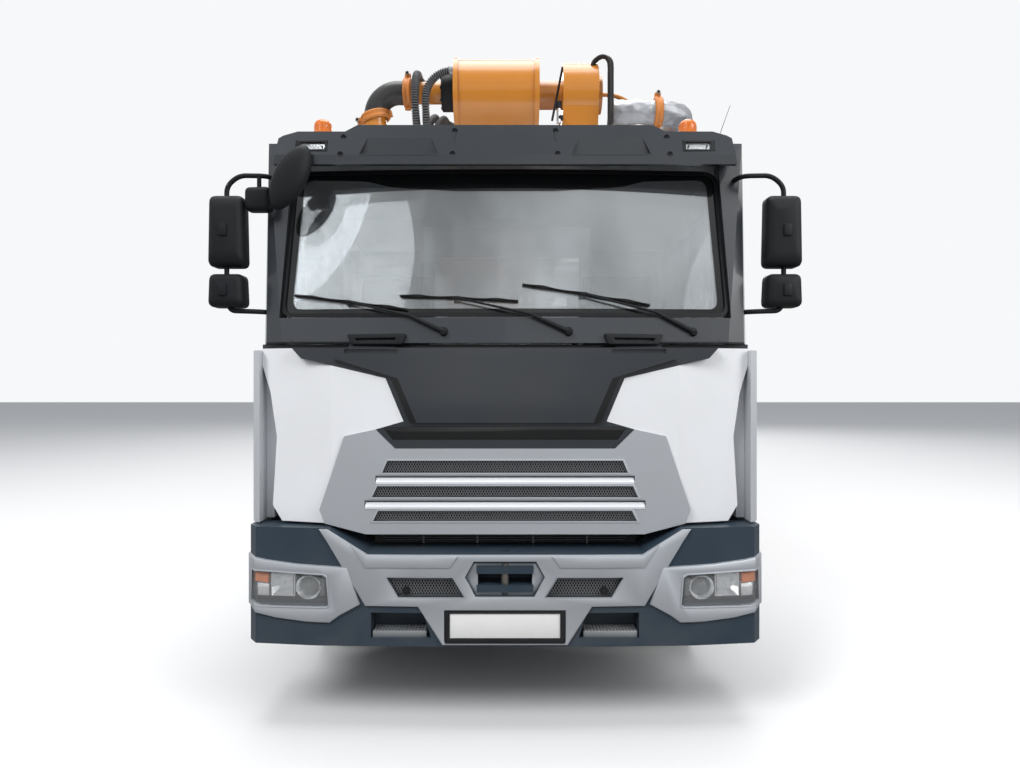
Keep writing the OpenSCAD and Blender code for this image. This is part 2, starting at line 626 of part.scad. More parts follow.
module subframe() color("#3a4046") {
  both() box(rail_x0, rail_x1, cab_back + 60, 4600, rail_top, sub_top);
  for (y = [cab_back + 60, slew_pos + 700, y_axle2, 4480]) box(-rail_x0, rail_x0, y, y + 90, rail_top + 20, sub_top);
  // Pedestal under the slewing ring
  box(-620, 620, slew_pos - 560, slew_pos + 560, sub_top, sub_top + 60);
  both() prism_x(rail_x0, rail_x1, [[slew_pos - 620, sub_top], [slew_pos + 620, sub_top],
    [slew_pos + 430, sub_top + 420], [slew_pos - 430, sub_top + 420]]);
  translate([0, slew_pos, sub_top + 60]) cylinder(h = 380, r1 = 560, r2 = 520);
  translate([0, slew_pos, sub_top + 440]) cylinder(h = 60, r = 600);
  both() leg_clevis(leg_x, front_leg_y);
  both() leg_clevis(rear_leg_x, rear_leg_y);
  // Stub that the turret turns on
  translate([0, slew_pos, sub_top + 499]) cylinder(h = 60, r = 180);
}

deck_z = leg_z1 + 60;
deck_edge = half_w - 290;
deck_y0 = slew_pos + 900;
deck_y1 = y_axle3 + 700;

// Chequered deck over the pump
module deck() color("#8c9196") box(-deck_edge, deck_edge, deck_y0, deck_y1, deck_z, deck_z + 30);

module deck_frame() color("#e08a1e") {
  top = deck_z + 30;
  rung_y = y_axle2 - 1150;
  // Posts from the subframe
  both() for (y = [deck_y0 + 60, y_axle2 - 300, y_axle2 + 700, deck_y1 - 140])
    box(rail_x0, rail_x1, y - 30, y + 30, sub_top, deck_z);
  // Handrails
  both() {
    for (y = [deck_y0 + 40, y_axle2 - 900, y_axle2 + 200, deck_y1 - 40]) rod_z(deck_edge - 30, y, top, top + 485, 15);
    rod_y(deck_edge - 30, deck_y0 + 20, deck_y1 - 20, top + 490, 19);
    rod_y(deck_edge - 30, deck_y0 + 40, deck_y1 - 40, top + 240, 11);
  }
  // Boom rest
  for (x = [boom_x - 260, boom_x + 190]) box(x, x + 70, deck_y1 - 330, deck_y1 - 250, top, p1z - 300);
  box(boom_x - 260, boom_x + 260, deck_y1 - 340, deck_y1 - 240, p1z - 300, p1z - 225);
  // Ladder up the left side, stayed to the chassis rail
  for (y = [rung_y, rung_y + 310]) box(deck_edge, deck_edge + 34, y, y + 34, 560, top + 60);
  for (i = [0 : 4]) box(deck_edge + 2, deck_edge + 32, rung_y + 30, rung_y + 314, 640 + i * 200, 668 + i * 200);
  box(rail_x1, deck_edge + 4, rung_y + 150, rung_y + 190, 842, 866);
}

module tanks() color("#9aa0a6") {
  // Fuel tank on the left, air reservoirs and battery box on the right
  difference() {
    prism_y(slew_pos + 150, slew_pos + 1250, [[560, 500], [1120, 500], [1180, 560], [1180, 980], [1120, 1040],
      [620, 1040], [560, 980]]);
    both() prism_x(1150, 1200, [[slew_pos + 190, 640], [slew_pos + 210, 600], [slew_pos + 190, 600]]);
  }
  for (y = [slew_pos + 380, slew_pos + 1000]) box(rail_x1, 560, y, y + 60, 780, 860);
  rod_z(900, slew_pos + 300, 1040, 1075, 60);
  box(-1150, -560, slew_pos + 650, slew_pos + 1250, 540, 1040);
  box(-560, -rail_x1, slew_pos + 780, slew_pos + 840, 780, 860);
  box(-560, -rail_x1, slew_pos + 1080, slew_pos + 1140, 780, 860);
  for (z = [640, 880]) rod_x(-1120, -560, slew_pos + 350, z, 100);
  box(-560, -rail_x1, slew_pos + 320, slew_pos + 380, 600, 920);
  // Rear water tank between the axle and the hopper
  both() box(rail_x1 + 40, half_w - 110, y_axle3 + 600, y_axle3 + 760, 520, 1000);
  both() box(rail_x1, rail_x1 + 40, y_axle3 + 640, y_axle3 + 720, 800, 900);
}

hop_y0 = y_tail - 1050;

module hopper() color("#e08a1e") {
  hw = hopper_w / 2;
  t = hopper_t;
  difference() {
    hull() {
      translate([-hw, hop_y0, hopper_z - 1]) cube([hopper_w, y_tail - hop_y0, 1]);
      translate([-hw, hop_y0, 1080]) cube([hopper_w, y_tail - hop_y0 - 100, 1]);
      translate([-380, hop_y0 + 60, 560]) cube([760, 520, 1]);
    }
    hull() {
      translate([-hw + t, hop_y0 + t, hopper_z]) cube([hopper_w - 2 * t, y_tail - hop_y0 - 2 * t, 1]);
      translate([-hw + t, hop_y0 + t, 1080]) cube([hopper_w - 2 * t, y_tail - hop_y0 - 100 - 2 * t, 1]);
      translate([-380 + t, hop_y0 + 60 + t, 560 + t]) cube([760 - 2 * t, 520 - 2 * t, 1]);
    }
  }
}

module hopper_fittings() color("#e08a1e") {
  hw = hopper_w / 2;
  // Mounting cheeks that meet the slope of the front wall
  both() prism_x(rail_x0, rail_x1, [[4600, 840], [hop_y0 + 60 * 240 / 520 - 0.2, 840],
    [hop_y0 + 60 * 20 / 520 - 0.2, rail_top], [4600, rail_top]]);
  // Splash lip with the rests of the grate
  box(-hw, hw, y_tail - 40, y_tail, hopper_z, hopper_z + 60);
  both() box(hw - 220, hw - 180, y_tail - 90, y_tail - 39, hopper_z, hopper_z + 4);
  // Hinge pins of the grate
  both() rod_x(hw - 60, hw - 2, hop_y0 + 50, hopper_z + 24, 8);
  both() box(hw - 18, hw - 2, hop_y0 + 30, hop_y0 + 70, hopper_z, hopper_z + 44);
}

module hopper_grate() color("#3a3f44") {
  hw = hopper_w / 2;
  y0 = hop_y0 + 40;
  y1 = y_tail - 60;
  z = hopper_z + 4;
  difference() {
    union() {
      box(-hw + 20, hw - 20, y0, y0 + 20, z, z + 40);
      box(-hw + 20, hw - 20, y1 - 20, y1, z, z + 40);
      for (i = [0 : 13]) translate([-hw + 20 + i * (hopper_w - 52) / 13, y0 + 10, z]) cube([12, y1 - y0 - 20, 40]);
    }
    both() rod_x(hw - 62, hw, y0 + 10, z + 20, 8 + pin_play);
  }
}

module pump_unit() color("#6d7379") {
  // Two delivery cylinders behind a water box, with the drive cylinders ahead of it
  both() {
    rod_y(190, y_axle3 + 700, hop_y0 - 20, rail_top - 100, 120);
    rod_y(190, y_axle2 + 600, y_axle3 + 400, rail_top + 40, 70);
  }
  box(-330, 330, y_axle3 + 400, y_axle3 + 700, rail_top - 260, rail_top + 130);
  box(-330, 330, hop_y0 - 70, hop_y0, rail_top - 260, rail_top);
  box(-rail_x0, rail_x0, y_axle3 + 520, y_axle3 + 580, rail_top - 60, rail_top);
}

module flange_y(x, y, z) rod_y(x, y - 22, y + 22, z, pipe_r + 16);
module flange_x(x, y, z) rod_x(x - 22, x + 22, y, z, pipe_r + 16);

// A quarter bend in the plane that rot lays flat, from one angle on
module bend(x, y, z, rot, from = 0)
  translate([x, y, z]) rotate(rot) rotate([0, 0, from]) rotate_extrude(angle = 90)
    translate([pipe_bend, 0]) circle(r = pipe_r);

module chassis_pipe() color("#9aa0a6") {
  // Delivery line from the pump, forward under the deck to the pedestal
  pz = leg_z1 - 40;
  riser = hop_y0 - pipe_r - 20;
  rod_y(0, slew_pos + 560, riser - pipe_bend, pz, pipe_r);
  for (y = [slew_pos + 1400, y_axle2 + 200, y_axle3 + 200]) flange_y(0, y, pz);
  for (y = [y_axle2 + 20, y_axle3 + 20]) box(-40, 40, y, y + 50, sub_top, pz - pipe_r + 12);
  bend(0, riser - pipe_bend, pz - pipe_bend, [90, 0, 90]);
  rod_z(0, riser, rail_top, pz - pipe_bend, pipe_r);
}

// Boom
turn_z = sub_top + 502;
pin_r = 60;

module turret() color("#e08a1e") {
  cheek = [[slew_pos - 560, turn_z + 90], [slew_pos + 520, turn_z + 90], [slew_pos + 470, turn_z + 600],
    [slew_pos - 60, p1z - 330], [p1y + 170, p1z + 40], [p1y + 90, p1z + 170], [p1y - 90, p1z + 170],
    [p1y - 180, p1z + 40], [p1y - 190, p1z - 300], [slew_pos - 600, turn_z + 640]];
  difference() {
    union() {
      translate([0, slew_pos, turn_z]) cylinder(h = 40, r = 600);
      translate([0, slew_pos, turn_z + 39]) cylinder(h = 60, r = 640);
    }
    rod_z(0, slew_pos, turn_z - eps, sub_top + 565, 180 + pin_play);
  }
  for (x = [a1x0 - 10 - ear_t, a1x1 + 10]) prism_x(x, x + ear_t, cheek);
  box(a1x0 - 11, a1x1 + 11, slew_pos - 560, slew_pos - 500, turn_z + 90, p1z - 600);
  rod_x(a1x0 - 64, a1x1 + 64, p1y, p1z, pin_r);
  // Lugs and pin of the lift cylinder
  for (x = [boom_x - 110, boom_x + 60]) prism_x(x, x + 50, [[lift_low[0] - 160, turn_z + 90],
    [lift_low[0] + 160, turn_z + 90], [lift_low[0] + 70, lift_low[1] + 80], [lift_low[0] - 70, lift_low[1] + 80]]);
  rod_x(boom_x - 120, boom_x + 120, lift_low[0], lift_low[1], 40);
  // Delivery pipe up the turret
  rod_z(lane_l, p1y, turn_z + 90, p1z - 96, pipe_r);
  box(lane_l - pipe_r, lane_l + pipe_r, p1y - pipe_r, p1y + pipe_r, turn_z + 40, turn_z + 130);
}

module lift_barrel() color("#e08a1e") {
  d = lift_eye - lift_low;
  a = atan2(d[1], d[0]);
  translate([boom_x, lift_low[0], lift_low[1]]) rotate([a, 0, 0]) difference() {
    union() {
      rod_x(-50, 50, 0, 0, 78);
      rod_y(0, 0, 1420, 0, 95);
    }
    rod_x(-51, 51, 0, 0, 40 + pin_play);
    rod_y(0, 130, 1421, 0, 80);
    for (s = [-1, 1]) box(s * 75 - 25, s * 75 + 25, -110, 110, -110, 110);
  }
}

module lift_rod() color("#b4b8bd") {
  d = lift_eye - lift_low;
  a = atan2(d[1], d[0]);
  reach = norm(d);
  translate([boom_x, lift_low[0], lift_low[1]]) rotate([a, 0, 0]) difference() {
    union() {
      rod_y(0, 140, reach - 40, 0, 55);
      rod_y(0, 140, 240, 0, 79.6);
      rod_x(-34, 34, reach, 0, 72);
    }
    rod_x(-60, 60, reach, 0, 40);
    for (s = [-1, 1]) box(s * 64 - 30, s * 64 + 30, reach - 90, reach + 90, -90, 90);
  }
}

module ram_barrel(x, y0, y1, z, bore_at) difference() {
  rod_y(x, y0, y1, z, 60);
  if (bore_at > 0) rod_y(x, y0 + 60, y1 + eps, z, 45);
  else rod_y(x, y0 - eps, y1 - 60, z, 45);
}

module arm_1() color("#e08a1e") {
  top = p2z - 25;
  difference() {
    union() {
      beam(a1x0, a1x1, [[p1y - 60, p1z - 100], [p1y + 320, p1z - 205], [p2y - 900, p1z - 165],
        [p2y - 260, p1z - 130], [p2y - 260, top], [p1y + 420, top - 5], [p1y - 60, p1z + 100]]);
      rod_x(a1x0, a1x1, p1y, p1z, 125);
      for (x = [a1x0 - 10 - ear_t, a1x1 + 10]) {
        rod_x(x, x + ear_t, p2y, p2z, 190);
        prism_x(x, x + ear_t, [[p2y - 900, p1z - 60], [p2y - 300, p1z - 120], [p2y - 60, p2z - 180],
          [p2y + 20, p2z + 190], [p2y - 60, p2z + 180], [p2y - 300, top], [p2y - 900, top - 20]]);
      }
      for (x = [a1x0 - 11, a1x1 - 15]) box(x, x + 26, p2y - 800, p2y - 320, p1z - 40, top - 40);
    }
    // Slot for the lift cylinder, open below and to the front
    box(a1x0 + 45, a1x1 - 45, p1y + 170, p1y + 2050, 2900, p1z + 80);
    box(a1x0 + 45, a1x1 - 45, p1y + 55, p1y + 171, 2900, p1z - 118);
    rod_x(a1x0 - eps, a1x1 + eps, p1y, p1z, pin_r + pin_play);
  }
  rod_x(a1x0 - 66, a1x1 + 66, p2y, p2z, pin_r);
  for (x = [[a1x0 + 40, boom_x - 44], [boom_x + 44, a1x1 - 40]]) rod_x(x[0], x[1], lift_eye[0], lift_eye[1], 40);
}

module arm_2() color("#e08a1e") {
  low = p2z + 30;
  difference() {
    union() {
      beam(a2x0, a2x1, [[p2y + 90, p2z + 130], [p2y - 200, p2z + 320], [p3y + 1500, p3z + 260],
        [p3y + 80, p3z + 200], [p3y + 150, p3z - 60], [p3y + 900, low], [p2y - 230, low],
        [p2y - 60, p2z - 100], [p2y + 90, p2z - 100]]);
      rod_x(a2x0, a2x1, p2y, p2z, 190);
      rod_x(drum_x0, drum_x1, p3y, p3z, drum_r - 14);
      for (x = [drum_x0, drum_x1 - 30]) rod_x(x, x + 30, p3y, p3z, drum_r);
      // Barrels of the second and third cylinders, on saddles
      ram_barrel(boom_x, p2y - 1500, p2y - 300, p2z + 385, 1);
      ram_barrel(boom_x, p3y + 640, p3y + 1740, p3z + 335, -1);
      for (y = [p2y - 1420, p2y - 520]) box(boom_x - 60, boom_x + 60, y, y + 70, p2z + 280, p2z + 345);
      for (y = [p3y + 720, p3y + 1560]) box(boom_x - 60, boom_x + 60, y, y + 70, p3z + 200, p3z + 295);
    }
    rod_x(a2x0 - eps, a2x1 + eps, p2y, p2z, pin_r + pin_play);
    rod_y(boom_x, p2y - 1440, p2y - 299, p2z + 385, 45);
    rod_y(boom_x, p3y + 639, p3y + 1680, p3z + 335, 45);
  }
  // Pin that carries the third arm
  rod_x(drum_x1 - 1, a3x1 + 6, p3y, p3z, 90);
  rod_x(a3x1 + 6, a3x1 + 30, p3y, p3z, 120);
}

module arm_3() color("#e08a1e") {
  difference() {
    union() {
      beam(a3x0, a3x1, [[p3y - 160, p3z - 100], [p3y - 60, p3z - 380], [p3y + 260, p1z - 200], [p4y - 900, p1z - 190],
        [p4y - 240, p1z - 150], [p4y - 240, p4z - 30], [p3y + 600, p4z - 20], [p3y + 190, p3z - 60]]);
      rod_x(a3x0, a3x1, p3y, p3z, 194);
      for (x = [a3x0 - 4, a3x1 - 40 + 4]) {
        rod_x(x, x + 40, p4y, p4z, 160);
        prism_x(x, x + 40, [[p4y - 700, p1z - 120], [p4y - 200, p1z - 130], [p4y + 30, p4z - 155],
          [p4y + 20, p4z + 155], [p4y - 60, p4z + 140], [p4y - 240, p4z - 30], [p4y - 700, p4z - 40]]);
      }
    }
    rod_x(a3x0 - eps, a3x1 + eps, p3y, p3z, 90 + pin_play);
  }
  rod_x(a3x0 - 12, a3x1 + 12, p4y, p4z, 50);
}

module arm_4() color("#e08a1e") {
  x0 = a3x0 + 44;
  x1 = a3x1 - 44;
  low = p4z + 30;
  difference() {
    union() {
      beam(x0, x1, [[p4y + 60, p4z + 120], [p4y - 150, p4z + 270], [tip_y + 700, p4z + 200],
        [tip_y, p4z + 170], [tip_y, p4z + 60], [tip_y + 900, low], [p4y - 200, low], [p4y - 50, p4z - 90],
        [p4y + 60, p4z - 90]], 10);
      rod_x(x0, x1, p4y, p4z, 150);
      ram_barrel((x0 + x1) / 2, p4y - 1300, p4y - 260, p4z + 330, 1);
      for (y = [p4y - 1240, p4y - 420]) box((x0 + x1) / 2 - 50, (x0 + x1) / 2 + 50, y, y + 60, p4z + 240, p4z + 290);
    }
    rod_x(x0 - eps, x1 + eps, p4y, p4z, 50 + pin_play);
    rod_y((x0 + x1) / 2, p4y - 1240, p4y - 259, p4z + 330, 45);
  }
}

module ram_rod(x, y0, y1, z, eye) {
  difference() {
    union() {
      rod_y(x, y0, y1, z, 32);
      rod_y(x, eye > y1 ? y0 : y1 - 70, eye > y1 ? y0 + 70 : y1, z, 44.7);
      rod_x(x - 30, x + 30, eye, z, 50);
    }
    rod_x(x - 31, x + 31, eye, z, 26);
    for (s = [-1, 1]) box(x + s * 50 - 20, x + s * 50 + 20, eye - 60, eye + 60, z - 60, z + 60);
  }
}

module rod_2() color("#b4b8bd") ram_rod(boom_x, p2y - 1430, p2y - 140, p2z + 385, p2y - 130);
module rod_3() color("#b4b8bd") ram_rod(boom_x, p3y + 480, p3y + 1670, p3z + 335, p3y + 470);
module rod_4() color("#b4b8bd") ram_rod((a3x0 + a3x1) / 2, p4y - 1230, p4y - 110, p4z + 330, p4y - 100);

// Delivery pipes along the arms
module bracket(x0, x1, y, z0, z1) box(x0, x1, y - 30, y + 30, z0, z1);

module pipe_1() color("#e08a1e") {
  x = lane_l;
  z = p1z + 20;
  rod_y(x, p1y + 60, p2y - pipe_bend, z, pipe_r);
  for (y = [p1y + 520, p1y + arm1_l * 0.375, p1y + arm1_l * 0.69, p2y - 1020]) flange_y(x, y, z);
  for (y = [p1y + arm1_l * 0.125, p1y + arm1_l * 0.425, p1y + arm1_l * 0.74]) bracket(x + pipe_r - 8, a1x0 + 14, y, z - 60, z + 60);
  bend(x, p2y - pipe_bend, z + pipe_bend, [90, 0, 90], -90);
  // Swivels on the two pivots
  rod_x(x - 85, a1x0 - 68, p1y, p1z, 92);
  rod_x(x - 85, a1x0 - 68, p2y, p2z, 92);
}

module pipe_2() color("#e08a1e") {
  x = lane_l - 420;
  z = p3z - 25 - 2 * pipe_bend;
  top = p3z + 15;
  rod_y(x, p3y + pipe_bend, p2y - pipe_bend, z, pipe_r);
  for (y = [p3y + pipe_bend + 60, p3y + arm2_l * 0.376, p3y + arm2_l * 0.667, p2y - pipe_bend - 60]) flange_y(x, y, z);
  for (y = [p3y + arm2_l * 0.118, p3y + arm2_l * 0.452, p2y - arm2_l * 0.129]) {
    box(x - 25, a2x0 + 14, y - 30, y + 30, p2z + 90, p2z + 130);
    box(x - 25, x + 25, y - 30, y + 30, z + pipe_r - 12, p2z + 91);
  }
  // Up and across to the end drum
  bend(x, p3y + pipe_bend, z + pipe_bend, [90, 0, 90], 180);
  rod_z(x, p3y, z + pipe_bend, top, pipe_r - 6);
  translate([x, p3y, top]) sphere(r = pipe_r + 12);
  rod_x(x, drum_x0, p3y, top, pipe_r);
  flange_x(x + 130, p3y, top);
  // Up to the swivel on the rear pivot
  bend(x, p2y - pipe_bend, z + pipe_bend, [90, 0, 90], -90);
  box(x - 88, x + 88, p2y - 88, p2y + 88, z + pipe_bend + 0.5, p2z + 90);
  rod_x(x + 80, lane_l - 87, p2y, p2z, 70);
}

module pipe_3() color("#c9ccce") {
  // Out from the end drum, back along the third arm and in to the fourth pivot
  x = half_w - 85;
  z = p3z - 112;
  rod_x(a3x1 + 60, x - pipe_bend, p3y, z, pipe_r);
  bend(x - pipe_bend, p3y + pipe_bend, z, [0, 0, 0], -90);
  rod_y(x, p3y + pipe_bend, p4y - pipe_bend, z, pipe_r);
  bend(x - pipe_bend, p4y - pipe_bend, z, [0, 0, 0]);
  rod_x(a3x1 + 40, x - pipe_bend, p4y, z, pipe_r);
  flange_x(a3x1 + 270, p3y, z);
  for (y = [p3y + arm3_l * 0.05, p3y + arm3_l * 0.35, p3y + arm3_l * 0.65]) flange_y(x, y, z);
  for (y = [p3y + arm3_l * 0.12, p3y + arm3_l * 0.5, p4y - arm3_l * 0.12]) {
    box(a3x1 - 14, x + 30, y - 30, y + 30, p1z, p1z + 60);
    box(x - 30, x + 30, y - 30, y + 30, p1z + 59, z - pipe_r + 12);
  }
}

module pipe_4() color("#e08a1e") {
  x = a3x1 + 120;
  z = p4z + 110;
  difference() {
    rod_y(x, tip_y - 90, p4y - 300, z, pipe_r - 10);
    rod_y(x, tip_y - 91, p4y - 299, z, pipe_r - 18);
  }
  for (y = [tip_y, tip_y + arm4_l * 0.35, tip_y + arm4_l * 0.7, p4y - 330]) difference() {
    flange_y(x, y, z);
    rod_y(x, y - 23, y + 23, z, pipe_r - 11);
  }
  for (y = [tip_y + arm4_l * 0.063, tip_y + arm4_l * 0.444, p4y - arm4_l * 0.143]) bracket(a3x1 - 54, x - pipe_r + 18, y, z - 40, z + 40);
}

// Outriggers
module leg_box(x, y, len) {
  difference() {
    union() {
      box(x - 105, x + 105, y, y + len - 130, leg_z0, leg_z1);
      rod_z(x, y, leg_z0, leg_z1, 105);
      rod_z(x, y + len, 700, leg_z1 + 90, 85);
      box(x - 90, x + 90, y + len - 140, y + len - 60, leg_z0, leg_z1);
    }
    rod_z(x, y, leg_z0 - eps, leg_z1 + eps, 45 + pin_play);
    rod_z(x, y + len, 699, leg_z1 + 40, jack_r + pin_play);
  }
}

module jack(x, y) {
  rod_z(x, y, foot_z + 60, leg_z1 + 20, jack_r);
  rod_z(x, y, foot_z + 20, foot_z + 70, jack_r + 25);
  rod_z(x, y, foot_z, foot_z + 22, foot_r);
}

module leg_front_left() color("#e08a1e") leg_box(leg_x, front_leg_y, front_leg_l);
module leg_front_right() color("#e08a1e") mirror([1, 0, 0]) leg_box(leg_x, front_leg_y, front_leg_l);
module leg_rear_left() color("#e08a1e") leg_box(rear_leg_x, rear_leg_y, rear_leg_l);
module leg_rear_right() color("#e08a1e") mirror([1, 0, 0]) leg_box(rear_leg_x, rear_leg_y, rear_leg_l);
module jack_front_left() color("#b4b8bd") jack(leg_x, front_leg_y + front_leg_l);
module jack_front_right() color("#b4b8bd") mirror([1, 0, 0]) jack(leg_x, front_leg_y + front_leg_l);
module jack_rear_left() color("#b4b8bd") jack(rear_leg_x, rear_leg_y + rear_leg_l);
module jack_rear_right() color("#b4b8bd") mirror([1, 0, 0]) jack(rear_leg_x, rear_leg_y + rear_leg_l);

chassis_frame();
front_axle();
rear_axles();
powertrain();
knuckle_left();
knuckle_right();
wheel_front_left();
wheel_front_right();
wheels_mid_left();
wheels_mid_right();
wheels_rear_left();
wheels_rear_right();
cab_shell();
cab_glass();
cab_interior();
door_left();
door_right();
door_glass_left();
door_glass_right();
roof_visor();
front_panel();
corner_panels();
deflectors();
grille();
bumper();
lamps();
mirrors();
wipers();
fenders();
subframe();
deck();
deck_frame();
tanks();
hopper();
hopper_fittings();
hopper_grate();
pump_unit();
chassis_pipe();
turret();
lift_barrel();
lift_rod();
arm_1();
arm_2();
arm_3();
arm_4();
rod_2();
rod_3();
rod_4();
pipe_1();
pipe_2();
pipe_3();
pipe_4();
leg_front_left();
leg_front_right();
leg_rear_left();
leg_rear_right();
jack_front_left();
jack_front_right();
jack_rear_left();
jack_rear_right();
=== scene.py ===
"""Looks of the truck-mounted concrete pump: paint, tyres, lamps, grille mesh, hoses and fittings."""

import json
import math

import bmesh
import bpy
from mathutils import Matrix, Vector, noise


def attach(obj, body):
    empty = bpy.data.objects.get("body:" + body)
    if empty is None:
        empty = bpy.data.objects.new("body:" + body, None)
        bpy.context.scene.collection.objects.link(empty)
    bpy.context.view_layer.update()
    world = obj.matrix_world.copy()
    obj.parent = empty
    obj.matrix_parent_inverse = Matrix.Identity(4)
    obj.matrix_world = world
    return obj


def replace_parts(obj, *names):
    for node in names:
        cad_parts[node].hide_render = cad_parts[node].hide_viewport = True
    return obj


bl_info = {
    "name": "Truck-mounted concrete pump",
    "version": (1, 0, 0),
    "blender": (4, 5, 0),
    "location": "View3D > Sidebar > Pump truck",
    "description": "Builds the visible details of a truck-mounted concrete pump around its CAD frame",
    "category": "Object",
}

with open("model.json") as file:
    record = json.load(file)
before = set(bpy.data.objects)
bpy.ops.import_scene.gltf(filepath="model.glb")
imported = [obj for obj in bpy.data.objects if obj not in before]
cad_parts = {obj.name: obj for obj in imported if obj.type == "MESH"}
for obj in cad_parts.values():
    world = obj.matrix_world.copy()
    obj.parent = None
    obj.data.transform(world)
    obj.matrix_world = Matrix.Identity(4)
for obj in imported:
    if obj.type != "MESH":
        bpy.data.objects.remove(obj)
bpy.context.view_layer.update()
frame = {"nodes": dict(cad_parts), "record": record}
slot_of = {s["node"]: s["material_slot"] for s in frame["record"]["subparts"]}

MERGE = 0.00005         # corners nearer than this are one corner
DARK = 0.06             # a paint darker than this shines less


# Sizes and colours that a user would change
def colour(name, text, value):
    return bpy.props.FloatVectorProperty(
        name=name, description=text, default=value, subtype="COLOR", min=0, max=1, size=3
    )


def length(name, text, value):
    return bpy.props.FloatProperty(name=name, description=text, default=value, unit="LENGTH", min=0)


class PumpTruckColours(bpy.types.PropertyGroup):
    boom: colour("Boom", "Paint of the boom, outriggers and hopper", (0.47, 0.170, 0.013))
    cab: colour("Cab", "Paint of the cab and its corner panels", (0.78, 0.79, 0.81))
    hood: colour("Hood", "Dark paint of the service flap and visor", (0.028, 0.032, 0.038))
    bumper: colour("Bumper", "Blue-grey of the bumper", (0.024, 0.040, 0.058))
    silver: colour("Silver", "Silver of the grille and bumper band", (0.50, 0.525, 0.56))
    dust: colour("Dust", "Road dust in the low places", (0.26, 0.23, 0.19))


class PumpTruckSizes(bpy.types.PropertyGroup):
    tread: length("Tread depth", "Depth of the tyre grooves", 0.014)


# Meshes
def merge(bm, part):
    """Moves a bmesh's faces into another one."""
    held = bpy.data.meshes.new("part")
    part.to_mesh(held)
    part.free()
    bm.from_mesh(held)
    bpy.data.meshes.remove(held)


def place_piece(obj, body):
    """Puts an object into the scene, riding on a body."""
    bpy.context.scene.collection.objects.link(obj)
    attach(obj, body)
    return obj


def finish_piece(bm, name, slot, body="truck", look=None, smooth=40):
    """Turns a bmesh into an object at the origin that rides on a body. Without a look it has its slot's."""
    bmesh.ops.remove_doubles(bm, verts=bm.verts, dist=MERGE)
    bmesh.ops.recalc_face_normals(bm, faces=bm.faces)
    mesh = bpy.data.meshes.new(name)
    bm.to_mesh(mesh)
    bm.free()
    mesh.materials.append(look or finish(slot))
    if smooth:
        mesh.polygons.foreach_set("use_smooth", [True] * len(mesh.polygons))
        mesh.set_sharp_from_angle(angle=math.radians(smooth))
    return place_piece(bpy.data.objects.new(name, mesh), body)


def facing(way):
    """The turn that points Z along a direction."""
    return Vector(way).to_track_quat("Z", "Y").to_matrix().to_4x4()


def round_edges(bm, edges, width):
    bmesh.ops.bevel(bm, geom=edges, offset=width, offset_type="OFFSET", segments=2, profile=0.5,
                    affect="EDGES", material=-1)


def edges_of(verts):
    """The edges at some vertices, each once and always in the same order."""
    return list(dict.fromkeys(e for v in verts for e in v.link_edges))


def add_box(bm, low, high, bevel=0.0, turn=None):
    """A box between two corners, with its edges rounded, turned about its middle."""
    low, high = Vector(low), Vector(high)
    place = Matrix.Translation((low + high) / 2)
    if turn is not None:
        place = place @ turn.to_4x4()
    made = bmesh.ops.create_cube(bm, size=1, matrix=place @ Matrix.Diagonal((*(high - low), 1)))
    if bevel:
        round_edges(bm, edges_of(made["verts"]), bevel)


def add_side_box(bm, side, xs, ys, zs, bevel=0.0):
    """A box between pairs of X, Y and Z, with X given for the left side and mirrored for the right."""
    x0, x1 = sorted((side * xs[0], side * xs[1]))
    add_box(bm, (x0, ys[0], zs[0]), (x1, ys[1], zs[1]), bevel)


def add_rod(bm, start, end, radius, sides=16, tip=None, bevel=0.0):
    """A round bar between two points."""
    start, end = Vector(start), Vector(end)
    made = bmesh.ops.create_cone(
        bm, cap_ends=True, segments=sides, radius1=radius, radius2=radius if tip is None else tip,
        depth=(end - start).length, matrix=Matrix.Translation((start + end) / 2) @ facing(end - start))
    if bevel:
        rims = [e for e in edges_of(made["verts"]) if any(len(f.verts) > 4 for f in e.link_faces)]
        round_edges(bm, rims, bevel)


def add_prism(bm, points, thickness):
    """A flat outline given in space, pulled out along a vector."""
    verts = [bm.verts.new(p) for p in points]
    face = bm.faces.new(verts)
    pulled = bmesh.ops.extrude_face_region(bm, geom=[face])
    bmesh.ops.translate(bm, vec=Vector(thickness),
                        verts=[v for v in pulled["geom"] if isinstance(v, bmesh.types.BMVert)])


def add_ring(bm, profile, centre, axis=(1, 0, 0), steps=64, closed=None):
    """An outline of (radius, along) points, spun about an axis. It is closed if it starts off the axis."""
    ring = bmesh.new()
    verts = [ring.verts.new((r, 0, w)) for r, w in profile]
    if closed is None:
        closed = profile[0][0] > 0
    count = len(verts) if closed else len(verts) - 1
    edges = [ring.edges.new((verts[i], verts[(i + 1) % len(verts)])) for i in range(count)]
    bmesh.ops.spin(ring, geom=verts + edges, cent=(0, 0, 0), axis=(0, 0, 1), angle=2 * math.pi,
                   steps=steps, use_merge=True, use_duplicate=False)
    bmesh.ops.remove_doubles(ring, verts=ring.verts, dist=MERGE)
    bmesh.ops.transform(ring, matrix=Matrix.Translation(Vector(centre)) @ facing(axis), verts=ring.verts)
    merge(bm, ring)


def smooth_curve(name, points):
    """A curve whose line runs smoothly through points."""
    line = bpy.data.curves.new(name, "CURVE")
    line.dimensions = "3D"
    spline = line.splines.new("BEZIER")
    spline.bezier_points.add(len(points) - 1)
    for p, co in zip(spline.bezier_points, points):
        p.co = co
        p.handle_left_type = p.handle_right_type = "AUTO"
    return line


def bend_tube(points, radius, name, slot, body, look=None, resolution=10):
    """A hose or pipe along a smooth line through points."""
    line = smooth_curve(name, points)
    line.bevel_depth = radius
    line.bevel_resolution = 4
    line.resolution_u = resolution
    line.use_fill_caps = True
    line.materials.append(look or finish(slot))
    return place_piece(bpy.data.objects.new(name, line), body)


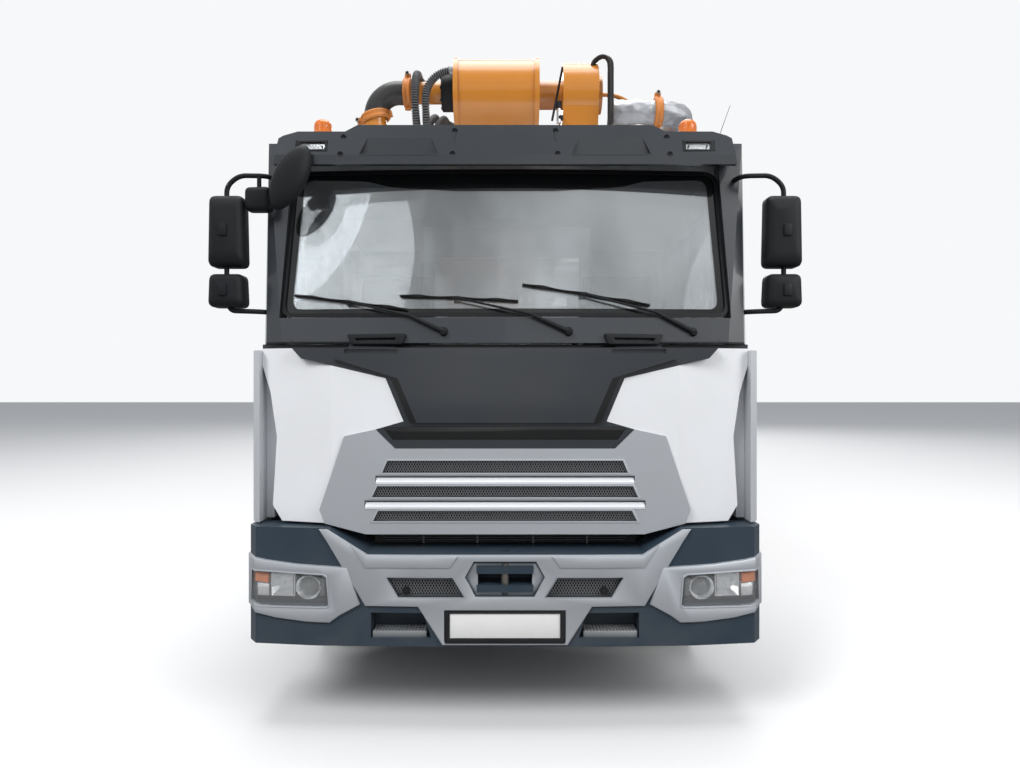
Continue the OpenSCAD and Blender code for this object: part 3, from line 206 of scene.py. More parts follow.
# Finishes
def add_node(tree, kind, values, **settings):
    """A node with its settings and its inputs, each of which holds a value or is fed by a socket."""
    node = tree.nodes.new("ShaderNode" + kind)
    for key, value in settings.items():
        setattr(node, key, value)
    for socket, value in values.items():
        if isinstance(value, bpy.types.NodeSocket):
            tree.links.new(value, node.inputs[socket])
        else:
            node.inputs[socket].default_value = value
    return node


def node_group(name, inputs, outputs):
    group = bpy.data.node_groups.new(name, "ShaderNodeTree")
    for label, kind, value in inputs:
        group.interface.new_socket(label, in_out="INPUT", socket_type="NodeSocket"
                                   + kind).default_value = value
    for label, kind in outputs:
        group.interface.new_socket(label, in_out="OUTPUT", socket_type="NodeSocket" + kind)
    return group, group.nodes.new("NodeGroupInput").outputs, group.nodes.new("NodeGroupOutput").inputs


def road_dust():
    """Mixes dust into a paint, more of it low down and in patches, and roughens it there."""
    if "Road dust" in bpy.data.node_groups:
        return bpy.data.node_groups["Road dust"]
    group, given, put = node_group(
        "Road dust",
        [("Paint", "Color", (0.5, 0.5, 0.5, 1)), ("Dust", "Color", (0.3, 0.27, 0.22, 1)),
         ("Amount", "Float", 0.3), ("Roughness", "Float", 0.4), ("Height", "Float", 1.2)],
        [("Colour", "Color"), ("Roughness", "Float"), ("Grain", "Float")])
    where = add_node(group, "TexCoord", {}).outputs["Object"]
    split = add_node(group, "SeparateXYZ", {0: where})
    fall = add_node(group, "MapRange", {"Value": split.outputs["Z"], "From Max": given["Height"], "To Min": 1,
                                        "To Max": 0.18})
    patch = add_node(group, "TexNoise", {"Vector": where, "Scale": 3.1, "Detail": 9})
    spread = add_node(group, "MapRange", {"Value": patch.outputs["Fac"], "From Min": 0.35, "From Max": 0.72})
    both = add_node(group, "Math", {0: fall.outputs["Result"], 1: spread.outputs["Result"]},
                    operation="MULTIPLY")
    share = add_node(group, "Math", {0: both.outputs[0], 1: given["Amount"]}, operation="MULTIPLY").outputs[0]
    mix = add_node(group, "Mix", {"Factor": share, "A": given["Paint"], "B": given["Dust"]}, data_type="RGBA")
    rough = add_node(group, "Math", {0: share, 1: 0.45, 2: given["Roughness"]}, operation="MULTIPLY_ADD")
    fine = add_node(group, "TexNoise", {"Vector": where, "Scale": 240})
    group.links.new(mix.outputs["Result"], put["Colour"])
    group.links.new(rough.outputs[0], put["Roughness"])
    group.links.new(fine.outputs["Fac"], put["Grain"])
    return group


def new_material(name, **values):
    """A material with values on its shader's own sockets, its tree and its shader."""
    made = bpy.data.materials.new(name)
    made.use_nodes = True
    surface = made.node_tree.nodes["Principled BSDF"]
    for label, value in values.items():
        surface.inputs[label.replace("_", " ")].default_value = value
    return made, made.node_tree, surface


def paint(name, colour, roughness=0.35, metallic=0.0, coat=0.0, dust=0.3, height=1.3, grain=0.0,
          dust_colour=None):
    """A painted or bare finish with road dust in it. A very dark one shines less."""
    if name in bpy.data.materials:
        return bpy.data.materials[name]
    made, tree, surface = new_material(name, Metallic=metallic, Coat_Weight=coat, Coat_Roughness=0.08,
                                       Specular_IOR_Level=0.25 if max(colour) < DARK else 0.5)
    dust_colour = dust_colour or bpy.context.scene.pump_truck_colours.dust
    layer = add_node(tree, "Group", {"Paint": (*colour, 1), "Dust": (*dust_colour, 1), "Amount": dust,
                                     "Roughness": roughness, "Height": height}, node_tree=road_dust())
    tree.links.new(layer.outputs["Colour"], surface.inputs["Base Color"])
    tree.links.new(layer.outputs["Roughness"], surface.inputs["Roughness"])
    if grain:
        bump = add_node(tree, "Bump", {"Strength": grain, "Distance": 0.002,
                                       "Height": layer.outputs["Grain"]})
        tree.links.new(bump.outputs["Normal"], surface.inputs["Normal"])
    return made


def clear(name, tint, roughness=0.02, alpha=1.0, transmission=1.0, metallic=0.0):
    """Glass or a clear lamp cover."""
    if name in bpy.data.materials:
        return bpy.data.materials[name]
    return new_material(name, Base_Color=(*tint, 1), Roughness=roughness, Transmission_Weight=transmission,
                        IOR=1.45, Alpha=alpha, Metallic=metallic)[0]


def screen_mask():
    """1 on the part of the cab that frames the windscreen: ahead of the doors and above the belt."""
    group, _, put = node_group("Screen frame", [], [("Mask", "Float")])
    where = add_node(group, "TexCoord", {})
    split = add_node(group, "SeparateXYZ", {0: where.outputs["Object"]})
    ahead = add_node(group, "Math", {0: split.outputs["Y"], 1: CORNER_Y - 0.004}, operation="LESS_THAN")
    above = add_node(group, "Math", {0: split.outputs["Z"], 1: BELT - 0.024}, operation="GREATER_THAN")
    both = add_node(group, "Math", {0: ahead.outputs[0], 1: above.outputs[0]}, operation="MULTIPLY")
    group.links.new(both.outputs[0], put["Mask"])
    return group


def cab_paint(c):
    """White paint that turns dark on the frame of the windscreen."""
    name = "Cab two-tone"
    if name in bpy.data.materials:
        return bpy.data.materials[name]
    made = paint(name, c.cab, 0.3, coat=0.3, dust=0.14, height=2.2)
    tree = made.node_tree
    colour = tree.nodes["Principled BSDF"].inputs["Base Color"]
    mask = add_node(tree, "Group", {}, node_tree=screen_mask())
    mix = add_node(tree, "Mix", {"Factor": mask.outputs["Mask"], "A": colour.links[0].from_socket,
                                 "B": (*c.hood, 1)},
                   data_type="RGBA")
    tree.links.new(mix.outputs["Result"], colour)
    return made


def finish(name):
    """A finish, by the record's slot that it stands for or by its own name if small parts have it."""
    c = bpy.context.scene.pump_truck_colours
    slots = {
        "chassis_paint": lambda: paint("Chassis black", (0.028, 0.03, 0.034), 0.5, dust=0.55, height=1.5,
                                       grain=0.15),
        "machine_paint": lambda: paint("Machine grey", (0.1, 0.11, 0.12), 0.5, dust=0.5, height=1.6),
        "wheel_rubber": lambda: paint("Tyre rubber", (0.018, 0.018, 0.019), 0.72, dust=0.6, height=1.1,
                                      grain=0.5),
        "cab_white": lambda: cab_paint(c),
        "cab_dark": lambda: paint("Hood dark", c.hood, 0.26, coat=0.5, dust=0.06, height=2.2),
        "cab_silver": lambda: paint("Grille silver", c.silver, 0.34, metallic=0.55, dust=0.18, height=1.8),
        "bumper_blue": lambda: paint("Bumper blue-grey", c.bumper, 0.42, coat=0.15, dust=0.2, height=1.0),
        "trim_black": lambda: paint("Trim black", (0.009, 0.010, 0.012), 0.58, dust=0.05, height=2.5,
                                    grain=0.3),
        "pane": lambda: clear("Cab glass", (0.62, 0.655, 0.675), 0.01, 0.74, 0.9, 0.42),
        "lamp_lens": lambda: clear("Lamp lens", (0.9, 0.93, 0.95), 0.02, 0.45, 1.0),
        "boom_orange": lambda: paint("Boom orange", c.boom, 0.33, coat=0.35, dust=0.2, height=3.0),
        "wrap_silver": lambda: paint("Foil wrap", (0.36, 0.37, 0.39), 0.38, metallic=0.75, dust=0.6,
                                     height=4.6, grain=1.0, dust_colour=(0.08, 0.082, 0.088)),
        "rod_steel": lambda: paint("Rod chrome", (0.75, 0.76, 0.78), 0.12, metallic=1.0, dust=0.04,
                                   height=2.0),
        "body_steel": lambda: paint("Body steel", (0.33, 0.35, 0.37), 0.42, metallic=0.7, dust=0.35,
                                    height=2.0),
        "amber": lambda: clear("Amber lens", (0.84, 0.23, 0.035), 0.12, 0.92, 0.35),
        "bolt_steel": lambda: paint("Bolt steel", (0.30, 0.29, 0.27), 0.4, metallic=0.8, height=3.6),
        "chrome": lambda: paint("Reflector", (0.86, 0.87, 0.88), 0.16, metallic=0.9, dust=0.02),
        "clamp_orange": lambda: paint("Clamp orange", (0.50, 0.17, 0.03), 0.5, dust=0.35, height=3.8),
        "flap_rubber": lambda: paint("Flap rubber", (0.016, 0.016, 0.017), 0.7, dust=0.7, height=1.2),
        "mesh_grey": lambda: paint("Mesh grey", (0.23, 0.24, 0.25), 0.4, metallic=0.5, dust=0.35),
    }
    return slots[name]()


class PUMPTRUCK_OT_paint_frame(bpy.types.Operator):
    """Gives every CAD node the finish of its slot."""

    bl_idname = "pumptruck.paint_frame"
    bl_label = "Paint the frame"

    def execute(self, context):
        for node, obj in frame["nodes"].items():
            obj.data.materials.clear()
            obj.data.materials.append(finish(slot_of[node]))
        side_silver = paint("Deflector silver", (0.62, 0.64, 0.67), 0.36, metallic=0.4, dust=0.2, height=1.6)
        frame["nodes"]["deflectors"].data.materials[0] = side_silver
        return {"FINISHED"}


# Wheels
HUB_Z = 0.53
AXLES = {"fl": -4.35, "fr": -4.35, "ml": 0.85, "mr": 0.85, "rl": 2.22, "rr": 2.22}
WHEEL_NODES = {"fl": "wheel_front_left", "fr": "wheel_front_right", "ml": "wheels_mid_left",
               "mr": "wheels_mid_right", "rl": "wheels_rear_left", "rr": "wheels_rear_right"}
FRONT_TYRE_X = 1.025
TWIN_TYRE_X = (1.094, 0.744)
STUDS = 10
STUD_CIRCLE = 0.1675
TYRE_R = 0.530
TREAD_STEPS = 240


def tread_profile(depth):
    """Half of a tyre's section from its middle rib to the bead, then mirrored and closed."""
    low = TYRE_R - depth
    half = [(TYRE_R, 0.018), (low, 0.021), (low, 0.029), (TYRE_R, 0.032), (TYRE_R, 0.072),
            (low, 0.075), (low, 0.083), (0.5295, 0.087), (0.528, 0.117), (0.522, 0.132),
            (0.508, 0.139), (0.503, 0.144), (0.480, 0.149), (0.476, 0.153), (0.435, 0.1545), (0.405, 0.1535),
            (0.385, 0.1535), (0.382, 0.1505), (0.345, 0.146), (0.338, 0.1475), (0.330, 0.144), (0.305, 0.134),
            (0.290, 0.118), (0.286, 0.100)]
    return half + [(r, -w) for r, w in reversed(half)]


def add_tyre(bm, centre, out, depth, pitch, cuts):
    """A tyre with grooves round it and cuts across the ribs named by their distance from the middle."""
    made = bmesh.new()
    add_ring(made, tread_profile(depth), centre, out, TREAD_STEPS)
    made.faces.ensure_lookup_table()
    chosen = []
    for face in made.faces:
        p = face.calc_center_median() - Vector(centre)
        along = p.dot(Vector(out))
        round_it = math.hypot(p.y, p.z)
        if round_it < 0.5225 or not any(low < abs(along) < high for low, high in cuts):
            continue
        step = int(round((math.atan2(p.z, p.y) / (2 * math.pi) + 0.5) * TREAD_STEPS - 0.5))
        if (step + (pitch // 2 if along > 0 else 0)) % pitch == 0:
            chosen.append(face)
    bmesh.ops.recalc_face_normals(made, faces=made.faces)
    bmesh.ops.inset_individual(made, faces=chosen, thickness=0.0028, depth=-depth * 0.75)
    merge(bm, made)


def add_holed_disc(bm, centre, out, inner, outer, holes, hole_at, hole_r, dish):
    """A wheel disc with round hand holes, dished by a function of the radius."""
    disc = bmesh.new()
    for k in range(holes):
        a0, a1 = 2 * math.pi * k / holes, 2 * math.pi * (k + 1) / holes
        middle = (a0 + a1) / 2
        legs = ((outer, a0, outer, a1, 6), (outer, a1, inner, a1, 4), (inner, a1, inner, a0, 6),
                (inner, a0, outer, a0, 4))
        edge = [(r0 + (r1 - r0) * i / n, t0 + (t1 - t0) * i / n) for r0, t0, r1, t1, n in legs
                for i in range(n)]
        rim = [disc.verts.new((r * math.cos(a), r * math.sin(a), 0)) for r, a in edge]
        hub = Vector((hole_at * math.cos(middle), hole_at * math.sin(middle), 0))
        hole = [disc.verts.new(hub + (v.co - hub).normalized() * hole_r) for v in rim]
        loops = [disc.edges.new((ring[i], ring[(i + 1) % len(ring)])) for ring in (rim, hole)
                 for i in range(len(ring))]
        bmesh.ops.bridge_loops(disc, edges=loops)
    bmesh.ops.remove_doubles(disc, verts=disc.verts, dist=0.0002)
    bmesh.ops.recalc_face_normals(disc, faces=disc.faces)
    bmesh.ops.solidify(disc, geom=disc.faces, thickness=0.012)
    for v in disc.verts:
        v.co.z += dish(math.hypot(v.co.x, v.co.y))
    bmesh.ops.transform(disc, matrix=Matrix.Translation(Vector(centre)) @ facing(out), verts=disc.verts)
    merge(bm, disc)


def rim_section():
    """A drop-centre rim, from its outer lip to its inner one, and back inside it."""
    outside = [(0.283, 0.121), (0.287, 0.119), (0.2865, 0.105), (0.272, 0.100), (0.262, 0.060),
               (0.262, -0.060), (0.272, -0.100), (0.2865, -0.105), (0.287, -0.119), (0.283, -0.121)]
    inside = [(r - 0.012, w * 0.97) for r, w in reversed(outside)]
    return outside + inside


class PUMPTRUCK_OT_wheels(bpy.types.Operator):
    """Tyres with tread, drop-centre rims, hubs, nuts and valves in place of the plain wheels."""

    bl_idname = "pumptruck.wheels"
    bl_label = "Wheels"

    def execute(self, context):
        depth = context.scene.pump_truck_sizes.tread
        rim_paint = paint("Rim silver", (0.40, 0.42, 0.44), 0.42, metallic=0.35, dust=0.5, height=1.15)
        hub_paint = paint("Hub grey", (0.10, 0.105, 0.11), 0.5, metallic=0.2, dust=0.55, height=1.2)
        nut_steel = paint("Nut steel", (0.30, 0.29, 0.28), 0.38, metallic=0.85, dust=0.4, height=1.2)
        for key, y in AXLES.items():
            side = 1 if key[1] == "l" else -1
            front = key[0] == "f"
            body = ("wheel_" if front else "wheels_") + key
            out = (side, 0, 0)
            tyre, rim, nuts, hub = (bmesh.new() for _ in range(4))
            for x in (FRONT_TYRE_X,) if front else TWIN_TYRE_X:
                c = (side * x, y, HUB_Z)
                add_tyre(tyre, c, out, depth, 4 if front else 3,
                         [(0.087, 0.125)] if front else [(0.087, 0.125), (0.032, 0.072)])
                add_ring(rim, rim_section(), c, out, 72)
            # The front discs stand out and the twin ones lie deep in their rims
            if front:
                x, rise, fall, bow = FRONT_TYRE_X, 0.060, -0.060, 1.6
                far, start = 0.085, 0.126
                face, cap_out = 0.061, [(0.0, 0.160), (0.055, 0.160), (0.064, 0.154), (0.068, 0.128),
                                        (0.102, 0.124), (0.112, 0.114), (0.118, 0.066), (0.122, 0.050),
                                        (0.0, 0.050)]
            else:
                x, rise, fall, bow = TWIN_TYRE_X[0], -0.130, 0.042, 1.4
                far, start = 0.107, -0.018
                face, cap_out = -0.128, [(0.0, 0.066), (0.060, 0.066), (0.086, 0.060), (0.094, 0.048),
                                         (0.098, -0.010), (0.116, -0.016), (0.122, -0.030), (0.124, -0.140),
                                         (0.0, -0.140)]
            c = Vector((side * x, y, HUB_Z))
            add_holed_disc(rim, c, out, 0.120, 0.263, STUDS, 0.216, 0.021,
                           lambda r: rise + fall * max(0, (r - 0.185) / 0.078) ** bow)
            add_ring(hub, cap_out, c, out, 48)

            def along(by):
                return Vector((side * by, 0, 0))

            for i in range(8):
                a = math.radians(45 * i + 12)
                p = c + Vector((side * start, far * math.cos(a), far * math.sin(a)))
                add_rod(nuts, p, p + along(0.010), 0.0075, 6)
            for i in range(STUDS):
                a = 2 * math.pi * i / STUDS
                p = c + Vector((side * face, STUD_CIRCLE * math.cos(a), STUD_CIRCLE * math.sin(a)))
                add_rod(nuts, p, p + along(0.006), 0.025, 20)
                add_rod(nuts, p + along(0.006), p + along(0.034), 0.0185, 6, bevel=0.002)
                add_rod(nuts, p + along(0.034), p + along(0.052), 0.011, 10, bevel=0.001)
            stem = c + Vector((side * (face + 0.002), 0.235 * math.cos(0.3), 0.235 * math.sin(0.3)))
            add_rod(nuts, stem, stem + Vector((side * 0.045, -0.018, -0.004)), 0.0042, 8)
            for bm, name, look in ((tyre, "tyres", None), (rim, "rims", rim_paint), (hub, "hub", hub_paint),
                                   (nuts, "nuts", nut_steel)):
                piece = finish_piece(bm, "wheel_" + key + "_" + name, "wheel_rubber", body, look=look)
                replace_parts(piece, WHEEL_NODES[key])
        return {"FINISHED"}


# Stage and camera
# Each light's name, place, aim, size and power
LIGHTS = (("Key", (-9, -16, 13), (0, -3, 1.4), 9, 2300), ("Fill", (11, -13, 8), (0, -3, 1.4), 9, 1100),
          ("Back", (3, 16, 12), (0, 2, 2), 11, 1300), ("Top", (0, -3, 15), (0, -3, 2), 12, 1700))
CAMERA_AT = (0.024, -9.45, 1.65)


class PUMPTRUCK_OT_stage(bpy.types.Operator):
    """A pale floor, soft light from above and both sides, and a camera in front of the cab."""

    bl_idname = "pumptruck.stage"
    bl_label = "Stage and camera"

    def execute(self, context):
        scene = context.scene
        floor = bmesh.new()
        bmesh.ops.create_grid(floor, x_segments=1, y_segments=1, size=60)
        mesh = bpy.data.meshes.new("Floor")
        floor.to_mesh(mesh)
        floor.free()
        ground = bpy.data.objects.new("Floor", mesh)
        scene.collection.objects.link(ground)
        # The camera sees a pale floor; the light that it throws up is weaker, so that undersides stay dark
        pale, tree, surface = new_material("Pale floor", Roughness=0.9)
        ray = add_node(tree, "LightPath", {})
        tone = add_node(tree, "Mix", {"Factor": ray.outputs["Is Camera Ray"], "A": (0.17, 0.17, 0.17, 1),
                                      "B": (0.72, 0.72, 0.72, 1)}, data_type="RGBA")
        tree.links.new(tone.outputs["Result"], surface.inputs["Base Color"])
        mesh.materials.append(pale)
        world = bpy.data.worlds.new("Studio")
        scene.world = world
        world.use_nodes = True
        tree = world.node_tree
        rays = add_node(tree, "LightPath", {}).outputs
        through = add_node(tree, "Math", {0: rays["Is Camera Ray"], 1: rays["Is Transmission Ray"]},
                           operation="MAXIMUM")
        seen = add_node(tree, "Math", {0: through.outputs[0], 1: rays["Is Glossy Ray"]}, operation="MAXIMUM")
        mix = add_node(tree, "Mix", {"Factor": seen.outputs[0], "A": (0.42, 0.44, 0.47, 1),
                                     "B": (0.93, 0.94, 0.95, 1)}, data_type="RGBA")
        # Only mirrors and glass see the clouds; the backdrop stays plain
        where = add_node(tree, "TexCoord", {}).outputs["Generated"]
        cloud = add_node(tree, "TexNoise", {"Vector": where, "Scale": 3.2, "Detail": 7})
        shade = add_node(tree, "MapRange", {"Value": cloud.outputs["Fac"], "From Min": 0.40, "From Max": 0.62,
                                            "To Min": 0.5, "To Max": 1.3})
        clouds = add_node(
            tree, "Mix", {"Factor": rays["Is Glossy Ray"], "A": mix.outputs["Result"],
                          "B": shade.outputs["Result"]},
            data_type="RGBA", blend_type="MULTIPLY")
        tree.links.new(clouds.outputs["Result"], tree.nodes["Background"].inputs["Color"])
        for name, place, aim, size, power in LIGHTS:
            lamp = bpy.data.lights.new(name, "AREA")
            lamp.shape = "DISK"
            lamp.size = size
            lamp.energy = power
            obj = bpy.data.objects.new(name, lamp)
            obj.location = place
            obj.rotation_euler = (Vector(aim) - Vector(place)).to_track_quat("-Z", "Y").to_euler()
            obj.visible_glossy = name != "Key"      # its disc would show in the windscreen
            scene.collection.objects.link(obj)
        lens = bpy.data.cameras.new("Camera")
        lens.lens = 27.07
        lens.sensor_width = 36
        camera = bpy.data.objects.new("Camera", lens)
        camera.location = CAMERA_AT
        camera.rotation_euler = (math.pi / 2, 0, 0)
        scene.collection.objects.link(camera)
        scene.camera = camera
        scene.view_settings.view_transform = "Standard"
        return {"FINISHED"}


# Front of the cab
FRONT = -5.8
BELT = 1.85
CAB_FACE = -5.725


def across(x, turns):
    """The depth at a distance from the middle, along straight stretches between (x, depth) points."""
    x = abs(x)
    for (x0, y0), (x1, y1) in zip(turns, turns[1:]):
        if x <= x1:
            return y0 + (y1 - y0) * max(0, (x - x0) / (x1 - x0))
    return turns[-1][1]


def bumper_face(x, z):
    return FRONT + across(x, ((0.42, 0.0), (0.90, 0.016), (1.205, 0.055), (1.25, 0.120)))


def add_cover(bm, outline, face, proud, sunk=0.01, holes=(), cuts=(), edge=0.003):
    """A thin cover over a front face: outline and holes in X and Z, its depth from a function of both."""
    cover = bmesh.new()
    edges = []
    for ring in (outline, *holes):
        verts = [cover.verts.new((x, 0, z)) for x, z in ring]
        edges += [cover.edges.new((verts[i - 1], verts[i])) for i in range(len(verts))]
    bmesh.ops.triangle_fill(cover, use_beauty=True, use_dissolve=False, edges=edges)
    for x in cuts:
        for side in (-1, 1):
            bmesh.ops.bisect_plane(cover, geom=cover.verts[:] + cover.edges[:] + cover.faces[:],
                                   plane_co=(side * x, 0, 0), plane_no=(1, 0, 0))
    bmesh.ops.recalc_face_normals(cover, faces=cover.faces)
    pulled = bmesh.ops.extrude_face_region(cover, geom=cover.faces[:], use_keep_orig=True)
    front = {v for v in pulled["geom"] if isinstance(v, bmesh.types.BMVert)}
    for v in cover.verts:
        v.co.y = face(v.co.x, v.co.z) + (-proud if v in front else sunk)
    bmesh.ops.recalc_face_normals(cover, faces=cover.faces)
    bmesh.ops.dissolve_limit(cover, angle_limit=0.002, verts=cover.verts, edges=cover.edges)
    if edge:
        rims = [e for e in cover.edges if len(e.link_faces) == 2 and e.calc_face_angle(0) > 0.9
                and all(v in front for v in e.verts)]
        bmesh.ops.bevel(cover, geom=rims, offset=edge, offset_type="OFFSET", segments=2, profile=0.5,
                        affect="EDGES", material=-1, clamp_overlap=True)
    merge(bm, cover)


def shifted(face, by):
    """A face function moved back by a distance."""
    return lambda x, z: face(x, z) + by


def mirrored(half):
    """An outline given for positive X, closed over its mirror image."""
    return half + [(-x, z) for x, z in reversed(half) if x]


def flip(points):
    return [(-x, z) for x, z in reversed(points)]


def on_side(points, side):
    """An outline given for the left side, as it is there or mirrored for the right."""
    return flip(points) if side < 0 else list(points)


def add_mesh_panel(bm, outline, y, pitch, strand):
    """Stamped diamond mesh in the X-Z plane, cut to an outline with straight sides."""
    web = bmesh.new()
    xs, zs = [p[0] for p in outline], [p[1] for p in outline]
    x0, x1, z0, z1 = min(xs), max(xs), min(zs), max(zs)
    reach = (z1 - z0) * 0.55
    x = x0 - reach
    while x < x1 + reach:
        for lean in (-1, 1):
            a = Vector((x + lean * reach / 2, y, z0))
            b = Vector((x - lean * reach / 2, y, z1))
            way = (b - a).normalized()
            wide = Vector((way.z, 0, -way.x)) * strand
            back = Vector((0, 0.0016, 0))
            corner = [a - wide, a + wide, b + wide, b - wide]
            front = [web.verts.new(p) for p in corner]
            web.faces.new(front)
            rear = [web.verts.new(p + back) for p in corner]
            for i in range(4):
                web.faces.new((front[i - 1], front[i], rear[i], rear[i - 1]))
        x += pitch
    middle = Vector((sum(xs) / len(xs), 0, sum(zs) / len(zs)))
    for (ax, az), (bx, bz) in zip(outline, outline[1:] + outline[:1]):
        normal = Vector((bz - az, 0, ax - bx)).normalized()
        if normal.dot(middle - Vector((ax, 0, az))) > 0:
            normal = -normal
        bmesh.ops.bisect_plane(web, geom=web.verts[:] + web.edges[:] + web.faces[:], plane_co=(ax, y, az),
                               plane_no=normal, clear_outer=True)
    merge(bm, web)


VENT = [(0.247, 0.732), (0.566, 0.732), (0.509, 0.636), (0.190, 0.636)]
HEXAGON = [(0.190, 0.731), (0.148, 0.806), (-0.148, 0.806), (-0.190, 0.731), (-0.140, 0.638), (0.140, 0.638)]
JAW_HOLE = [(0.130, 0.675), (0.130, 0.757), (0.116, 0.773), (-0.116, 0.773), (-0.130, 0.757), (-0.130, 0.675),
            (-0.116, 0.659), (0.116, 0.659)]
CORNER_CUTS = (0.9, 1.205)
SIDE = {1: "left", -1: "right"}
LAMP_HOLE = [(1.226, 0.752), (0.870, 0.740), (0.852, 0.728), (0.840, 0.600), (0.852, 0.590), (1.180, 0.586),
             (1.236, 0.604)]


class PUMPTRUCK_OT_bumper(bpy.types.Operator):
    """Silver covers over the bumper, mesh in its vents, step treads, the tow pin and the blank plate."""

    bl_idname = "pumptruck.bumper"
    bl_label = "Bumper covers"

    def execute(self, context):
        centre = bmesh.new()
        middle = mirrored([(0.655, 0.838), (0.848, 0.957), (0.888, 0.957), (0.850, 0.900), (0.665, 0.594),
                           (0.413, 0.592), (0.298, 0.410)])
        plate_hole = [(-0.288, 0.423), (0.288, 0.423), (0.288, 0.575), (-0.288, 0.575)]
        add_cover(centre, middle, bumper_face, 0.012, holes=(plate_hole, VENT, flip(VENT), HEXAGON),
                  cuts=(0.42,), edge=0.004)
        ridge = [(-0.665, 0.776), (-0.262, 0.776), (-0.222, 0.832), (-0.652, 0.834), (-0.735, 0.886)]
        for points in (ridge, flip(ridge)):
            add_cover(centre, points, bumper_face, 0.020, 0.0, edge=0.006, cuts=(0.42,))
        inner = bmesh.new()
        add_cover(inner, HEXAGON, lambda x, z: FRONT + 0.028, 0.004, 0.008, holes=(JAW_HOLE,), edge=0.003)
        for points in (VENT, flip(VENT)):
            hole = [(x * 0.985 + 0.015 * (0.378 if x > 0 else -0.378), z * 0.97 + 0.0205) for x, z in points]
            add_cover(inner, points, bumper_face, 0.015, -0.004, holes=(hole,), edge=0.002, cuts=(0.42,))
        finish_piece(centre, "bumper_silver_centre", "cab_silver", smooth=32)
        finish_piece(inner, "bumper_silver_frames", "cab_silver", smooth=32)
        for side in (1, -1):
            band = bmesh.new()
            outer = [(1.250, 0.824), (1.150, 0.806), (1.000, 0.790), (0.850, 0.783), (0.752, 0.777),
                     (0.690, 0.600), (0.790, 0.545), (0.835, 0.512), (0.950, 0.514), (1.100, 0.528),
                     (1.200, 0.548), (1.250, 0.572)]
            lamp = on_side(LAMP_HOLE, side)
            add_cover(band, on_side(outer, side), bumper_face, 0.016, holes=(lamp,), cuts=CORNER_CUTS,
                      edge=0.010)
            mid = (1.04 * side, 0.67)
            lip = [(mid[0] + (x - mid[0]) * 1.035, mid[1] + (z - mid[1]) * 1.09) for x, z in lamp]
            add_cover(band, lip, bumper_face, 0.020, 0.0, holes=(lamp,), cuts=CORNER_CUTS, edge=0.002)
            # The band runs on round the corner to the wheel arch
            add_side_box(band, side, (1.249, 1.262), (-5.68, -5.10), (0.572, 0.824), 0.005)
            finish_piece(band, "bumper_band_" + SIDE[side], "cab_silver", smooth=32)
        web, dark = bmesh.new(), bmesh.new()
        for sign in (1, -1):
            half = on_side(VENT, sign)
            add_mesh_panel(web, half, FRONT + 0.024, 0.0135, 0.0016)
            # A black sheet 60 mm behind the mesh stands in for the shade inside the vent: painted shade. The
            # nearer black piece is the sensor plate.
            add_prism(dark, [(x, FRONT + 0.060, z) for x, z in half], (0, 0.01, 0))
            solid = on_side(((0.400, 0.731), (0.552, 0.731), (0.500, 0.638), (0.400, 0.638)), sign)
            add_cover(dark, solid, lambda x, z: FRONT + 0.034, 0.001, 0.003, edge=0)
        finish_piece(web, "bumper_vent_mesh", "trim_black", look=finish("mesh_grey"), smooth=0)
        finish_piece(dark, "bumper_vent_plate_and_shade", "trim_black", smooth=30)
        sensor = bmesh.new()
        for sign in (1, -1):
            c = (sign * 0.473, FRONT + 0.020, 0.663)
            add_ring(sensor,
                     [(0.0, 0.016), (0.011, 0.015), (0.013, 0.010), (0.013, 0.012), (0.018, 0.012),
                      (0.019, 0.006), (0.019, 0.0), (0.0, 0.0)],
                     c, (0, -1, 0), 32)
        finish_piece(sensor, "parking_sensors", "trim_black")
        treads = bmesh.new()
        for sign in (1, -1):
            x0, x1 = sorted((sign * 0.375, sign * 0.634))
            add_box(treads, (x0, FRONT + 0.018, 0.438), (x1, FRONT + 0.118, 0.470), 0.003)
            for i in range(4):
                y = FRONT + 0.026 + i * 0.024
                for k in range(16):
                    x = x0 + 0.012 + k * (x1 - x0 - 0.024) / 15
                    add_box(treads, (x - 0.0055, y - 0.007, 0.4695), (x + 0.0055, y + 0.007, 0.4745))
            for z in (0.450, 0.690):
                for i in range(12):
                    y = FRONT + 0.352 + i * 0.026
                    add_side_box(treads, sign, (1.075, 1.244), (y, y + 0.010), (z, z + 0.006), 0.0015)
        finish_piece(treads, "step_treads", "body_steel", smooth=30)
        pin = bmesh.new()
        y = FRONT + 0.032
        add_ring(pin,
                 [(0.0, 0.0), (0.014, 0.0), (0.018, 0.006), (0.018, 0.150), (0.027, 0.152), (0.027, 0.166),
                  (0.0, 0.166)],
                 (0, y, 0.640), (0, 0, 1), 32)
        finish_piece(pin, "tow_pin", "rod_steel",
                     look=paint("Pin steel", (0.24, 0.22, 0.20), 0.45, metallic=0.8, dust=0.4))
        frame_bm, plate = bmesh.new(), bmesh.new()
        window = [(-0.262, 0.444), (0.262, 0.444), (0.262, 0.560), (-0.262, 0.560)]
        rim = [(-0.284, 0.418), (0.284, 0.418), (0.284, 0.571), (-0.284, 0.571)]
        add_cover(frame_bm, rim, lambda x, z: FRONT, 0.016, -0.002, holes=(window,), edge=0.004)
        add_cover(plate, [(-0.263, 0.443), (0.263, 0.443), (0.263, 0.561), (-0.263, 0.561)],
                  lambda x, z: FRONT, 0.010, 0.004, edge=0.0015)
        finish_piece(frame_bm, "plate_frame", "trim_black", smooth=32)
        finish_piece(plate, "plate_blank", "cab_white",
                     look=paint("Plate white", (0.78, 0.78, 0.76), 0.35, dust=0.2), smooth=32)
        return {"FINISHED"}


